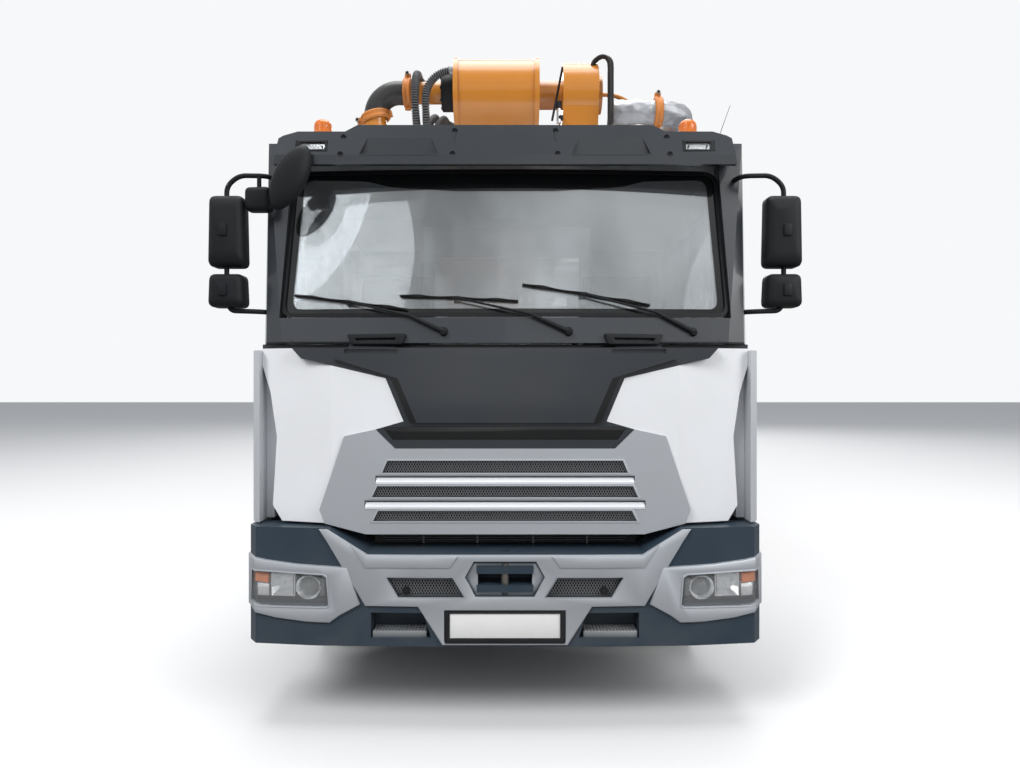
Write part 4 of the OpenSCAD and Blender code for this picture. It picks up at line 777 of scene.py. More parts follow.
# Upper front of the cab
ROOF = 2.89
CAB_BACK = CAB_FACE + 1.83
CORNER_Y = CAB_FACE + 0.385
GLASS_IN = 0.0185
GLASS_T = 0.008
SCREEN_BOW = 0.043
SCREEN_CUTS = [i * 0.1 for i in range(12)]


def cab_front(x, z):
    """Where the upper cab's skin is: its plan at the belt, drawn back and narrowed towards the roof."""
    d = 0.21 * (z - BELT) / (ROOF - BELT)
    return CAB_FACE + across(x, ((0, d), (0.64, d + 0.018), (1.1, d + 0.052), (1.19, 0.095 + 0.7 * d),
                                 (1.22, 0.17 + 0.3 * d), (1.23, 0.3)))


def glass_front(x, z):
    """The face of the windscreen, bowed through the corners of the cab's plan."""
    if abs(x) > SCREEN_CUTS[-1]:
        return cab_front(x, z) + GLASS_IN
    return CAB_FACE + 0.21 * (z - BELT) / (ROOF - BELT) + SCREEN_BOW * x * x + GLASS_IN


def rounded(points, radius, steps=4):
    """An outline with each corner drawn as a short curve."""
    made = []
    count = len(points)
    for i, point in enumerate(points):
        corner, before, after = Vector(point), Vector(points[i - 1]), Vector(points[(i + 1) % count])
        cut = min(radius, (before - corner).length * 0.48, (after - corner).length * 0.48)
        start = corner + (before - corner).normalized() * cut
        end = corner + (after - corner).normalized() * cut
        for k in range(steps + 1):
            t = k / steps
            made.append(tuple(start * (1 - t) ** 2 + corner * 2 * t * (1 - t) + end * t * t))
    return made


def grown(outline, by):
    """An outline moved outwards all round by a distance."""
    made = []
    area = sum(a[0] * b[1] - b[0] * a[1] for a, b in zip(outline, outline[1:] + outline[:1]))
    turn = 1 if area > 0 else -1
    for i, point in enumerate(outline):
        a = (Vector(point) - Vector(outline[i - 1])).normalized()
        b = (Vector(outline[(i + 1) % len(outline)]) - Vector(point)).normalized()
        out = Vector((a.y + b.y, -a.x - b.x)).normalized() * turn
        share = max(0.4, abs(out.dot(Vector((a.y, -a.x)))))
        made.append((point[0] + out.x * by / share, point[1] + out.y * by / share))
    return made


class PUMPTRUCK_OT_screen(bpy.types.Operator):
    """Seal, black glass border, lower panel seams and grab handles of the windscreen."""

    bl_idname = "pumptruck.screen"
    bl_label = "Windscreen"

    def execute(self, context):
        opening = rounded(mirrored([(1.118, 1.980), (1.091, 2.745)]), 0.075, 6)
        seal = bmesh.new()
        add_cover(seal, opening, glass_front, 0.014, 0.0, holes=(grown(opening, -0.020),), cuts=SCREEN_CUTS,
                  edge=0.004)
        finish_piece(seal, "screen_seal", "trim_black", smooth=32)
        border = bmesh.new()
        sight = rounded(mirrored([(1.062, 2.022), (1.034, 2.700), (0.700, 2.688), (0.600, 2.656),
                                  (0.250, 2.632)]), 0.05)
        add_cover(border, grown(opening, -0.019), glass_front, 0.0012, 0.0, holes=(sight,), cuts=SCREEN_CUTS,
                  edge=0)
        finish_piece(border, "screen_border", "trim_black",
                     look=paint("Glass border", (0.006, 0.007, 0.008), 0.06, coat=0.5, dust=0.05, height=3.0),
                     smooth=32)
        panes = bmesh.new()
        add_cover(panes, grown(opening, -0.002), glass_front, 0.0, GLASS_T, cuts=SCREEN_CUTS, edge=0)
        add_box(panes, (-0.52, CAB_BACK - 0.034, 2.05), (0.52, CAB_BACK - 0.028, 2.56))
        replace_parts(finish_piece(panes, "windscreen", "pane", smooth=20), "cab_glass")
        seams = bmesh.new()
        for side in (1, -1):
            x0, x1 = sorted((side * 1.048, side * 1.052))
            add_cover(seams, [(x0, 1.856), (x1, 1.856), (x1, 1.962), (x0, 1.962)], cab_front, 0.0008, 0.0,
                      edge=0)
        add_cover(seams, mirrored([(1.195, 1.8500), (1.195, 1.8575)]), cab_front, 0.0015, 0.0,
                  cuts=(0.64, 1.1, 1.19), edge=0)
        finish_piece(seams, "panel_seams", "trim_black", smooth=0)
        grips = bmesh.new()
        grip = [(0.480, 1.896), (0.772, 1.892), (0.748, 1.842), (0.500, 1.842)]
        gap = [(0.530, 1.874), (0.728, 1.871), (0.720, 1.858), (0.536, 1.858)]
        for side in (1, -1):
            add_cover(grips, rounded(on_side(grip, side), 0.012), cab_front, 0.030, 0.0,
                      holes=(on_side(gap, side),), edge=0.005)
        finish_piece(grips, "cab_grips", "trim_black", smooth=32)
        return {"FINISHED"}


# Hood, black slot and grille
HOOD_FACE = CAB_FACE - 0.005
FIELD_FACE = CAB_FACE - 0.020
GRILLE_FACE = CAB_FACE - 0.015
GRILLE_ROWS = ((0.572, 0.567, 0.635), (0.621, 0.690, 0.753), (0.616, 0.809, 0.868))
GRILLE_BARS = ((0.628, 0.642, 0.684), (0.680, 0.761, 0.803))


class PUMPTRUCK_OT_grille(bpy.types.Operator):
    """Mesh of the grille with black sheets behind it for painted shade, its bars in a lighter silver for a
    painted highlight, the black slot of the hood, and the radiator's louvres.
    """

    bl_idname = "pumptruck.grille"
    bl_label = "Hood and grille"

    def execute(self, context):
        web, back, frames = bmesh.new(), bmesh.new(), bmesh.new()
        for half, high, low in GRILLE_ROWS:
            row = [(half, BELT - high), (-half, BELT - high), (-half - 0.03, BELT - low),
                   (half + 0.03, BELT - low)]
            add_mesh_panel(web, row, GRILLE_FACE + 0.012, 0.0125, 0.0013)
            # A black sheet 55 mm behind each row stands in for the shade inside the grille: painted shade.
            add_cover(back, row, lambda x, z: GRILLE_FACE + 0.055, 0.002, 0.002, edge=0)
            add_cover(frames, grown(row, 0.004), lambda x, z: GRILLE_FACE, 0.0035, 0.0,
                      holes=(grown(row, -0.005),), edge=0.0015)
        finish_piece(web, "grille_mesh", "trim_black", look=finish("mesh_grey"), smooth=0)
        finish_piece(back, "grille_shade_backs", "trim_black", smooth=0)
        finish_piece(frames, "grille_frames", "cab_silver", smooth=32)
        strips = bmesh.new()
        side = [(0.830, 1.765), (0.556, 1.684), (0.462, 1.464), (0.428, 1.462), (0.520, 1.678),
                (0.548, 1.686), (0.815, 1.768)]
        for points in (side, flip(side)):
            add_cover(strips, points, lambda x, z: FIELD_FACE, 0.0015, 0.012, edge=0)
        floor = [(0.588, 1.437), (0.442, 1.444), (-0.442, 1.444), (-0.588, 1.437), (-0.543, 1.381),
                 (0.543, 1.381)]
        add_cover(strips, floor, lambda x, z: HOOD_FACE, 0.0015, 0.018, edge=0.001)
        finish_piece(strips, "hood_black_strips", "trim_black",
                     look=paint("Slot black", (0.008, 0.0085, 0.009), 0.2, coat=0.3, dust=0.08), smooth=32)
        bars = bmesh.new()
        for half, high, low in GRILLE_BARS:
            section = [(0.013, -high - 0.012), (-0.004, -low + 0.010), (-0.004, -low), (0.013, -low + 0.002)]
            add_prism(bars, [(-half + 0.004, GRILLE_FACE + y, BELT + z) for y, z in section],
                      (2 * half - 0.008, 0, 0))
        # The bars are painted a lighter silver than the grille's own: a painted highlight for the sky light
        # that their sloping tops catch.
        finish_piece(bars, "grille_bars", "cab_silver",
                     look=paint("Bar silver", (0.74, 0.76, 0.79), 0.3, metallic=0.2, dust=0.06, height=1.8),
                     smooth=32)
        fins, core = bmesh.new(), bmesh.new()
        for i in range(9):
            z = 0.862 + 0.0125 * i
            wide = 0.60 + 0.012 * i
            add_box(fins, (-wide, FRONT + 0.200, z), (wide, FRONT + 0.218, z + 0.004), 0.0,
                    Matrix.Rotation(math.radians(-28), 3, "X"))
        for x in (-0.41, -0.14, 0.14, 0.41):
            add_box(fins, (x - 0.006, FRONT + 0.196, 0.852), (x + 0.006, FRONT + 0.222, 0.975), 0.001)
        add_box(core, (-0.66, FRONT + 0.232, 0.84), (0.66, FRONT + 0.236, 0.985))
        finish_piece(fins, "radiator_louvres", "machine_paint", smooth=0)
        finish_piece(core, "radiator_core", "machine_paint",
                     look=paint("Radiator core", (0.035, 0.037, 0.04), 0.6, metallic=0.4, dust=0.5,
                                grain=0.8),
                     smooth=0)
        return {"FINISHED"}


# Roof visor
VISOR_FACE = CAB_FACE + 0.060
VISOR_LOW = ROOF - 0.155


def visor_front(x, z):
    """The visor's face stands upright to 45 mm above its lower edge and then leans back."""
    return VISOR_FACE + max(0, (z - VISOR_LOW - 0.045) * 0.060 / 0.175)


def add_bolt(bm, at, out, radius, height=0.5):
    """A washer and a hexagon head on a face."""
    at, out = Vector(at), Vector(out).normalized()
    add_rod(bm, at - out * radius * 0.1, at + out * radius * 0.18, radius * 1.35, 20)
    add_rod(bm, at + out * radius * 0.18, at + out * radius * (0.18 + height), radius, 6, bevel=radius * 0.1)


class PUMPTRUCK_OT_visor(bpy.types.Operator):
    """Screws, panel seams, position lamps and the aerial of the roof visor."""

    bl_idname = "pumptruck.visor"
    bl_label = "Roof visor"

    def execute(self, context):
        screws, seams = bmesh.new(), bmesh.new()
        for x, z in ((0.252, 2.915), (0.260, 2.788), (0.804, 2.879), (0.814, 2.785)):
            for sign in (1, -1):
                at = Vector((sign * x, visor_front(x, z), z))
                add_ring(screws,
                         [(0.0, 0.0035), (0.006, 0.0035), (0.0065, 0.001), (0.0095, 0.001), (0.010, 0.004),
                          (0.0135, 0.0035), (0.014, -0.002), (0.0, -0.002)],
                         at, (0, -1, -0.15), 20)
        side = [(0.238, 2.930), (0.242, 2.930), (0.262, 2.800), (0.258, 2.800)]
        low = [(0.258, 2.796), (0.262, 2.801), (-0.262, 2.801), (-0.258, 2.796)]
        crease = [(0.330, 2.779), (0.722, 2.779), (0.722, 2.783), (0.330, 2.783)]
        for points in (side, flip(side), low, crease, flip(crease)):
            add_cover(seams, points, visor_front, 0.0006, 0.001, edge=0)
        finish_piece(screws, "visor_screws", "trim_black")
        finish_piece(seams, "visor_seams", "trim_black", smooth=0)
        rims, glow, shine = bmesh.new(), bmesh.new(), bmesh.new()
        for sign in (1, -1):
            outer = on_side(((0.878, 2.800), (1.042, 2.802), (1.036, 2.862), (0.884, 2.864)), sign)
            inner = on_side(((0.896, 2.812), (1.016, 2.812), (1.016, 2.850), (0.896, 2.850)), sign)
            add_cover(rims, rounded(outer, 0.008), visor_front, 0.003, 0.004, holes=(inner,), edge=0.0015)
            add_cover(rims, outer, shifted(visor_front, 0.034), 0.002, 0.002, edge=0)
            add_cover(shine, inner, shifted(visor_front, 0.014), 0.002, 0.012, edge=0)
            add_cover(glow, inner, shifted(visor_front, 0.006), 0.005, 0.003, edge=0.002)
            for k in (-1, 1):
                at = Vector((sign * 0.956 + k * 0.045, visor_front(0.95, 2.831) + 0.012, 2.831))
                add_rod(rims, at, at - Vector((0, 0.012, 0)), 0.004, 12)
        finish_piece(rims, "position_lamp_rims", "trim_black", smooth=32)
        finish_piece(shine, "position_lamp_reflectors", "lamp_lens", look=finish("chrome"), smooth=0)
        finish_piece(glow, "position_lamp_lenses", "lamp_lens", smooth=32)
        aerial = bmesh.new()
        foot = Vector((1.13, CORNER_Y + 0.12, ROOF - 0.004))
        way = Vector((0.115, 0.02, 0.31))
        add_ring(aerial, [(0.0, 0.030), (0.008, 0.028), (0.016, 0.012), (0.022, 0.0), (0.0, 0.0)], foot,
                 (0, 0, 1), 20)
        add_rod(aerial, foot + way * 0.06, foot + way, 0.0022, 8, tip=0.0012)
        finish_piece(aerial, "aerial", "trim_black")
        return {"FINISHED"}


# Lamps
LAMP_BACK = FRONT + 0.148


class PUMPTRUCK_OT_lamps(bpy.types.Operator):
    """Headlamps with projector, reflector and turn signal, and two beacons, in place of the plain lamps."""

    bl_idname = "pumptruck.lamps"
    bl_label = "Headlamps and beacons"

    def execute(self, context):
        body, bright, dome, signal, cover = (bmesh.new() for _ in range(5))
        for side in (1, -1):
            def flat(points):
                return on_side(points, side)

            add_cover(body, flat(LAMP_HOLE), lambda x, z: LAMP_BACK - 0.006, 0.002, 0.004, edge=0)
            shelf = flat([(0.846, 0.604), (1.226, 0.608), (1.222, 0.622), (0.848, 0.618)])
            add_cover(body, shelf, shifted(bumper_face, 0.020), 0.0, 0.050, edge=0.002)
            # Projector in a stepped bezel
            c = Vector((side * 0.945, FRONT + 0.060, 0.672))
            add_ring(bright, [(0.061, 0.0), (0.061, 0.018), (0.057, 0.022), (0.050, 0.014), (0.046, -0.010),
                              (0.046, -0.070), (0.061, -0.070)], c, (0, -1, 0), 48)
            add_ring(dome,
                     [(0.0, 0.020), (0.014, 0.0185), (0.028, 0.013), (0.039, 0.003), (0.045, -0.010),
                      (0.0, -0.014)],
                     c, (0, -1, 0), 40)
            # Square main beam reflector, a hollow with sloping walls
            lip = [(1.018, 0.632), (1.128, 0.632), (1.128, 0.730), (1.018, 0.730)]
            add_cover(bright, flat(grown(lip, 0.006)), shifted(bumper_face, 0.024), 0.004, 0.002,
                      holes=(flat(lip),), edge=0.0015)
            mid = Vector((side * 1.073, 0, 0.681))
            bowl = bmesh.new()
            stand = (Matrix.Translation((mid.x, FRONT + 0.078, mid.z)) @ Matrix.Rotation(math.pi / 2, 4, "X")
                     @ Matrix.Rotation(math.pi / 4, 4, "Z"))
            bmesh.ops.create_cone(bowl, cap_ends=False, segments=4, radius1=0.034, radius2=0.0735,
                                  depth=0.055, matrix=stand)
            merge(bright, bowl)
            add_box(bright, (mid.x - 0.030, FRONT + 0.104, mid.z - 0.026),
                    (mid.x + 0.030, FRONT + 0.107, mid.z + 0.026))
            add_rod(dome, (mid.x, FRONT + 0.104, mid.z), (mid.x, FRONT + 0.078, mid.z), 0.009, 16,
                    bevel=0.003)
            # Daylight strip and turn signal
            add_cover(dome, flat([(0.868, 0.632), (0.893, 0.632), (0.893, 0.712), (0.870, 0.712)]),
                      shifted(bumper_face, 0.030), 0.004, 0.006, edge=0.002)
            add_cover(signal, flat([(1.146, 0.690), (1.214, 0.694), (1.210, 0.742), (1.142, 0.738)]),
                      shifted(bumper_face, 0.010), 0.004, 0.020, edge=0.003)
            add_cover(bright, flat([(1.146, 0.622), (1.204, 0.624), (1.212, 0.684), (1.146, 0.680)]),
                      shifted(bumper_face, 0.034), 0.002, 0.006, edge=0.002)
            add_cover(cover, flat(grown(LAMP_HOLE, -0.0015)), bumper_face, 0.007, -0.003, cuts=CORNER_CUTS,
                      edge=0.002)
        finish_piece(body, "headlamp_bodies", "trim_black", smooth=32)
        finish_piece(bright, "headlamp_reflectors", "lamp_lens", look=finish("chrome"), smooth=32)
        finish_piece(dome, "headlamp_bulbs", "lamp_lens",
                     look=clear("Lamp dome", (0.92, 0.95, 0.97), 0.03, 0.7, 0.9))
        finish_piece(signal, "turn_signals", "lamp_lens", look=finish("amber"), smooth=32)
        glass = finish_piece(cover, "headlamp_covers", "lamp_lens",
                             look=clear("Lamp cover", (0.95, 0.97, 0.98), 0.01, 0.16, 0.6), smooth=32)
        foot, hood, core = bmesh.new(), bmesh.new(), bmesh.new()
        for side in (1, -1):
            c = (side * 0.945, CAB_FACE + 0.250, ROOF + 0.021)
            add_ring(foot,
                     [(0.0, 0.0), (0.050, 0.0), (0.050, 0.012), (0.047, 0.017), (0.047, 0.022), (0.0, 0.022)],
                     c, (0, 0, 1), 40)
            add_ring(hood,
                     [(0.0465, 0.020), (0.0485, 0.024), (0.0485, 0.030), (0.046, 0.033), (0.046, 0.070),
                      (0.043, 0.085), (0.034, 0.098), (0.018, 0.106), (0.0, 0.108), (0.0, 0.104),
                      (0.017, 0.102), (0.031, 0.095), (0.039, 0.083), (0.042, 0.068), (0.042, 0.020)],
                     c, (0, 0, 1), 40)
            add_ring(core,
                     [(0.0, 0.022), (0.022, 0.022), (0.022, 0.060), (0.016, 0.064), (0.006, 0.082),
                      (0.0, 0.083)],
                     c, (0, 0, 1), 24)
        finish_piece(foot, "beacon_feet", "trim_black")
        finish_piece(hood, "beacon_hoods", "lamp_lens", look=finish("amber"))
        finish_piece(core, "beacon_cores", "lamp_lens", look=finish("chrome"))
        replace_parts(glass, "lamps")
        return {"FINISHED"}


# Wipers and mirrors
# Each wiper's spindle X, and X and Z of its blade's two ends
WIPERS = ((-0.300, -1.050, 2.092, -0.480, 2.016), (0.310, -0.520, 2.086, 0.065, 2.058),
          (0.925, 0.085, 2.142, 0.715, 2.040))
BLADE_PARTS = 10


class PUMPTRUCK_OT_wipers(bpy.types.Operator):
    """Three wipers with cranked arms, spindle caps and jointed blades in place of the plain ones."""

    bl_idname = "pumptruck.wipers"
    bl_label = "Wipers"

    def execute(self, context):
        arms, rubbers = bmesh.new(), bmesh.new()
        for pivot, x0, z0, x1, z1 in WIPERS:
            foot = Vector((pivot, glass_front(pivot, 1.915) - 0.020, 1.906))
            add_ring(arms,
                     [(0.0, 0.034), (0.012, 0.034), (0.018, 0.026), (0.021, 0.010), (0.024, 0.0), (0.0, 0.0)],
                     foot + Vector((0, 0.010, 0)), (0, -1, -0.1), 24)

            def on_glass(x, z, off):
                return Vector((x, glass_front(x, z) - off, z))

            a, b = on_glass(x0, z0, 0.020), on_glass(x1, z1, 0.020)
            middle = a.lerp(b, 0.48)
            knee = Vector((foot.x + (middle.x - foot.x) * 0.35, 0, foot.z + (middle.z - foot.z) * 0.52))
            knee.y = glass_front(knee.x, knee.z) - 0.038
            add_rod(arms, foot + Vector((0, -0.014, 0)), knee, 0.013, 12, tip=0.0085)
            add_rod(arms, knee, middle + Vector((0, -0.018, 0)), 0.007, 10, tip=0.0045)
            add_box(arms, middle - Vector((0.018, 0.024, 0.008)), middle + Vector((0.018, 0.0, 0.008)), 0.003)
            for i in range(BLADE_PARTS):
                p, q = a.lerp(b, i / BLADE_PARTS), a.lerp(b, (i + 1) / BLADE_PARTS)
                p.y, q.y = glass_front(p.x, p.z) - 0.012, glass_front(q.x, q.z) - 0.012
                add_rod(rubbers, p, q, 0.0065, 8)
                add_rod(rubbers, p + Vector((0, 0.006, -0.004)), q + Vector((0, 0.006, -0.004)), 0.003, 6)
            for t0, t1 in ((0.02, 0.30), (0.30, 0.66), (0.66, 0.98)):
                p, q = a.lerp(b, t0), a.lerp(b, t1)
                peak = p.lerp(q, 0.5) + Vector((0, -0.014, 0.006))
                add_rod(arms, p, peak, 0.0035, 8)
                add_rod(arms, peak, q, 0.0035, 8)
        arm = finish_piece(arms, "wiper_arms", "trim_black", smooth=50)
        finish_piece(rubbers, "wiper_blades", "trim_black", look=finish("wheel_rubber"), smooth=50)
        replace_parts(arm, "wipers")
        return {"FINISHED"}


def add_shell(bm, outline, depth_at, glass_at, crown):
    """A mirror housing: an outline in X and Z with a domed front and a rim round the glass at its back."""
    mid = Vector((sum(x for x, z in outline) / len(outline), sum(z for x, z in outline) / len(outline)))
    rings = []
    for share, y in ((0.62, depth_at), (0.86, depth_at + crown * 0.22), (0.97, depth_at + crown * 0.6),
                     (1.0, depth_at + crown), (1.0, glass_at), (0.975, glass_at + 0.004), (0.945, glass_at),
                     (0.940, glass_at - 0.010)):
        rings.append([bm.verts.new((mid.x + (x - mid.x) * share, y, mid.y + (z - mid.y) * share))
                      for x, z in outline])
    loops = [[bm.edges.new((ring[i - 1], ring[i])) for i in range(len(ring))] for ring in rings]
    for a, b in zip(loops, loops[1:]):
        bmesh.ops.bridge_loops(bm, edges=a + b)
    bm.faces.new(rings[0])
    bm.faces.new(rings[-1])


def tube(points, radius, name, resolution=8):
    """A bent black tube on the truck, rounded at each of its inner points."""
    held = [Vector(p) for p in points]
    line = [held[0]]
    for before, corner, after in zip(held, held[1:], held[2:]):
        cut = min(0.055, (before - corner).length * 0.45, (after - corner).length * 0.45)
        start = corner + (before - corner).normalized() * cut
        end = corner + (after - corner).normalized() * cut
        for k in range(resolution + 1):
            t = k / resolution
            line.append(start * (1 - t) ** 2 + corner * 2 * t * (1 - t) + end * t * t)
    line.append(held[-1])
    bm = bmesh.new()
    for a, b in zip(line, line[1:]):
        add_rod(bm, a, b, radius, 12)
    return finish_piece(bm, name, "trim_black", smooth=60)


class PUMPTRUCK_OT_mirrors(bpy.types.Operator):
    """Rounded housings with mirror glass on bent tube arms, in place of the plain mirrors."""

    bl_idname = "pumptruck.mirrors"
    bl_label = "Mirrors"

    def execute(self, context):
        silvered = paint("Mirror glass", (0.82, 0.84, 0.86), 0.02, metallic=1.0, dust=0.03, height=3.5)
        y = CAB_FACE + 0.110
        shells, panes = bmesh.new(), bmesh.new()
        for side in (1, -1):
            for low, high in ((2.232, 2.588), (2.032, 2.198)):
                box = [(1.294, low), (1.476, low), (1.470, high), (1.302, high)]
                add_shell(shells, on_side(rounded(box, 0.032, 5), side), y - 0.058, y + 0.050, 0.045)
                inner = [(1.300, low + 0.006), (1.469, low + 0.006), (1.464, high - 0.006),
                         (1.308, high - 0.006)]
                add_cover(panes, on_side(rounded(inner, 0.030, 5), side), lambda x, z: y + 0.045, 0.001,
                          0.001, edge=0)
                # Clamp that holds the housing on its tube
                middle = (low + high) / 2
                add_side_box(shells, side, (1.372, 1.412), (y - 0.068, y - 0.050),
                             (middle - 0.030, middle + 0.030), 0.006)
            for name, line in (
                    ("mirror_arm_top_", ((1.160, 0.170, 2.690), (1.180, 0, 2.690), (1.330, 0, 2.692),
                                         (1.392, 0, 2.640), (1.392, 0, 2.560))),
                    ("mirror_arm_low_", ((1.392, 0, 2.260), (1.392, 0, 2.070), (1.372, 0, 2.016),
                                         (1.240, 0, 2.012), (1.196, 0.050, 2.013)))):
                tube([(side * x, y + back, z) for x, back, z in line], 0.0125, name + SIDE[side])
        # Oval mirror that leans across the corner of the screen
        oval = bmesh.new()
        add_ring(oval,
                 [(0.0, 0.050), (0.45, 0.046), (0.80, 0.034), (0.96, 0.016), (1.0, 0.002), (0.97, -0.004),
                  (0.93, 0.0), (0.0, 0.002)],
                 (0, 0, 0), (0, -1, 0), 40)
        lean = Matrix.Rotation(math.radians(26), 4, "Y")
        place = Matrix.Translation((-1.052, CAB_FACE + 0.034, 2.662)) @ lean
        for v in oval.verts:
            r = math.hypot(v.co.x, v.co.z)
            point = 1 + 0.10 * (abs(v.co.z) / r) ** 6 if r > 0.01 else 1
            v.co = place @ Vector((v.co.x * 0.084, v.co.y, v.co.z * 0.160 * point))
        bmesh.ops.recalc_face_normals(oval, faces=oval.faces)
        tube([(-1.020, CAB_FACE + 0.062, 2.757), (-1.020, CAB_FACE + 0.045, 2.757),
              (-1.030, CAB_FACE + 0.030, 2.740)],
             0.012, "oval_mirror_stem", resolution=4)
        # Kerb mirror
        kerb = [(-1.296, 2.512), (-1.296, 2.630), (-1.170, 2.634), (-1.168, 2.512)]
        add_shell(shells, rounded(kerb, 0.026, 5), y - 0.039, y + 0.036, 0.030)
        add_cover(panes, rounded([(-1.290, 2.518), (-1.290, 2.624), (-1.176, 2.628), (-1.174, 2.518)], 0.022,
                                 5),
                  lambda x, z: y + 0.031, 0.001, 0.001, edge=0)
        tube([(-1.230, y, 2.625), (-1.230, y, 2.688)], 0.011, "kerb_mirror_stem", resolution=2)
        shell = finish_piece(shells, "mirror_shells", "trim_black", smooth=42)
        finish_piece(panes, "mirror_glass", "pane", look=silvered, smooth=42)
        finish_piece(oval, "oval_mirror", "trim_black", smooth=42)
        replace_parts(shell, "mirrors")
        return {"FINISHED"}


# Boom
BOOM_X = -0.062
P1 = Vector((BOOM_X, -3.15, 3.28))
P2 = Vector((BOOM_X, P1.y + math.sqrt(8.0 ** 2 - 0.19 ** 2), 3.47))
P3 = Vector((BOOM_X, P2.y - math.sqrt(9.3 ** 2 - 0.06 ** 2), 3.53))
P4 = Vector((0.4725, P3.y + math.sqrt(8.0 ** 2 - 0.13 ** 2), 3.40))
TIP_Y = P4.y - 6.3
DRUM_X = (BOOM_X - 0.271, BOOM_X + 0.271)
HEAD_X = (0.360, 0.585)
PIPE_R = 0.074
PIPE_BEND = 0.165
ARM_2 = 9.3
ARM_3 = 8.0
LANE_2 = BOOM_X - 0.788
CROSS_Z = P3.z + 0.015


def add_elbow(bm, start, way, turn_to, bend, radius, steps=14, sides=32):
    """A quarter bend of pipe that leaves a point along one direction and ends along another."""
    start, way, turn_to = Vector(start), Vector(way).normalized(), Vector(turn_to).normalized()
    ring = bmesh.ops.create_circle(
        bm, cap_ends=False, segments=sides, radius=radius,
        matrix=Matrix.Translation(start) @ facing(way))["verts"]
    bmesh.ops.spin(bm, geom=ring + edges_of(ring), cent=start + turn_to * bend, axis=way.cross(turn_to),
                   angle=math.pi / 2, steps=steps, use_duplicate=False)


def add_clamp(bm, bolts, at, way, radius, ear=None):
    """A pipe coupling: a grooved ring in two halves, held by a lever bolt at its ear."""
    at, way = Vector(at), Vector(way).normalized()
    add_ring(bm, [(radius, -0.026), (radius + 0.014, -0.026), (radius + 0.022, -0.018),
                  (radius + 0.022, -0.010), (radius + 0.017, -0.004), (radius + 0.017, 0.004),
                  (radius + 0.022, 0.010), (radius + 0.022, 0.018), (radius + 0.014, 0.026),
                  (radius, 0.026)], at, way, 48)
    ear = Vector(ear or (0, 0, 1)).normalized()
    side = way.cross(ear).normalized()
    turn = Matrix((side, ear, way)).transposed()
    for k, reach in ((1, 0.050), (-1, 0.036)):
        c = at + ear * k * (radius + reach * 0.5)
        half = Vector((0.018, reach * 0.5, 0.020))
        add_box(bm, c - half, c + half, 0.005, turn)
    c = at + ear * (radius + 0.042)
    add_rod(bolts, c - side * 0.052, c + side * 0.046, 0.008, 12)
    add_rod(bolts, c + side * 0.030, c + side * 0.046, 0.0145, 6, bevel=0.002)
    add_rod(bolts, c - side * 0.046, c - side * 0.032, 0.0145, 6, bevel=0.002)


def add_pin_cap(bm, bolts, at, way, radius):
    """The end plate of a boom pin with its ring of screws."""
    at, way = Vector(at), Vector(way).normalized()
    add_ring(bm,
             [(0.0, 0.0), (radius, 0.0), (radius, 0.012), (radius - 0.005, 0.017), (radius * 0.45, 0.017),
              (radius * 0.42, 0.011), (0.0, 0.011)],
             at, way, 40)
    for i in range(6):
        a = math.pi * i / 3 + 0.3
        spot = at + way * 0.017 + facing(way) @ Vector((math.cos(a), math.sin(a), 0)) * radius * 0.72
        add_bolt(bolts, spot, way, radius * 0.11)


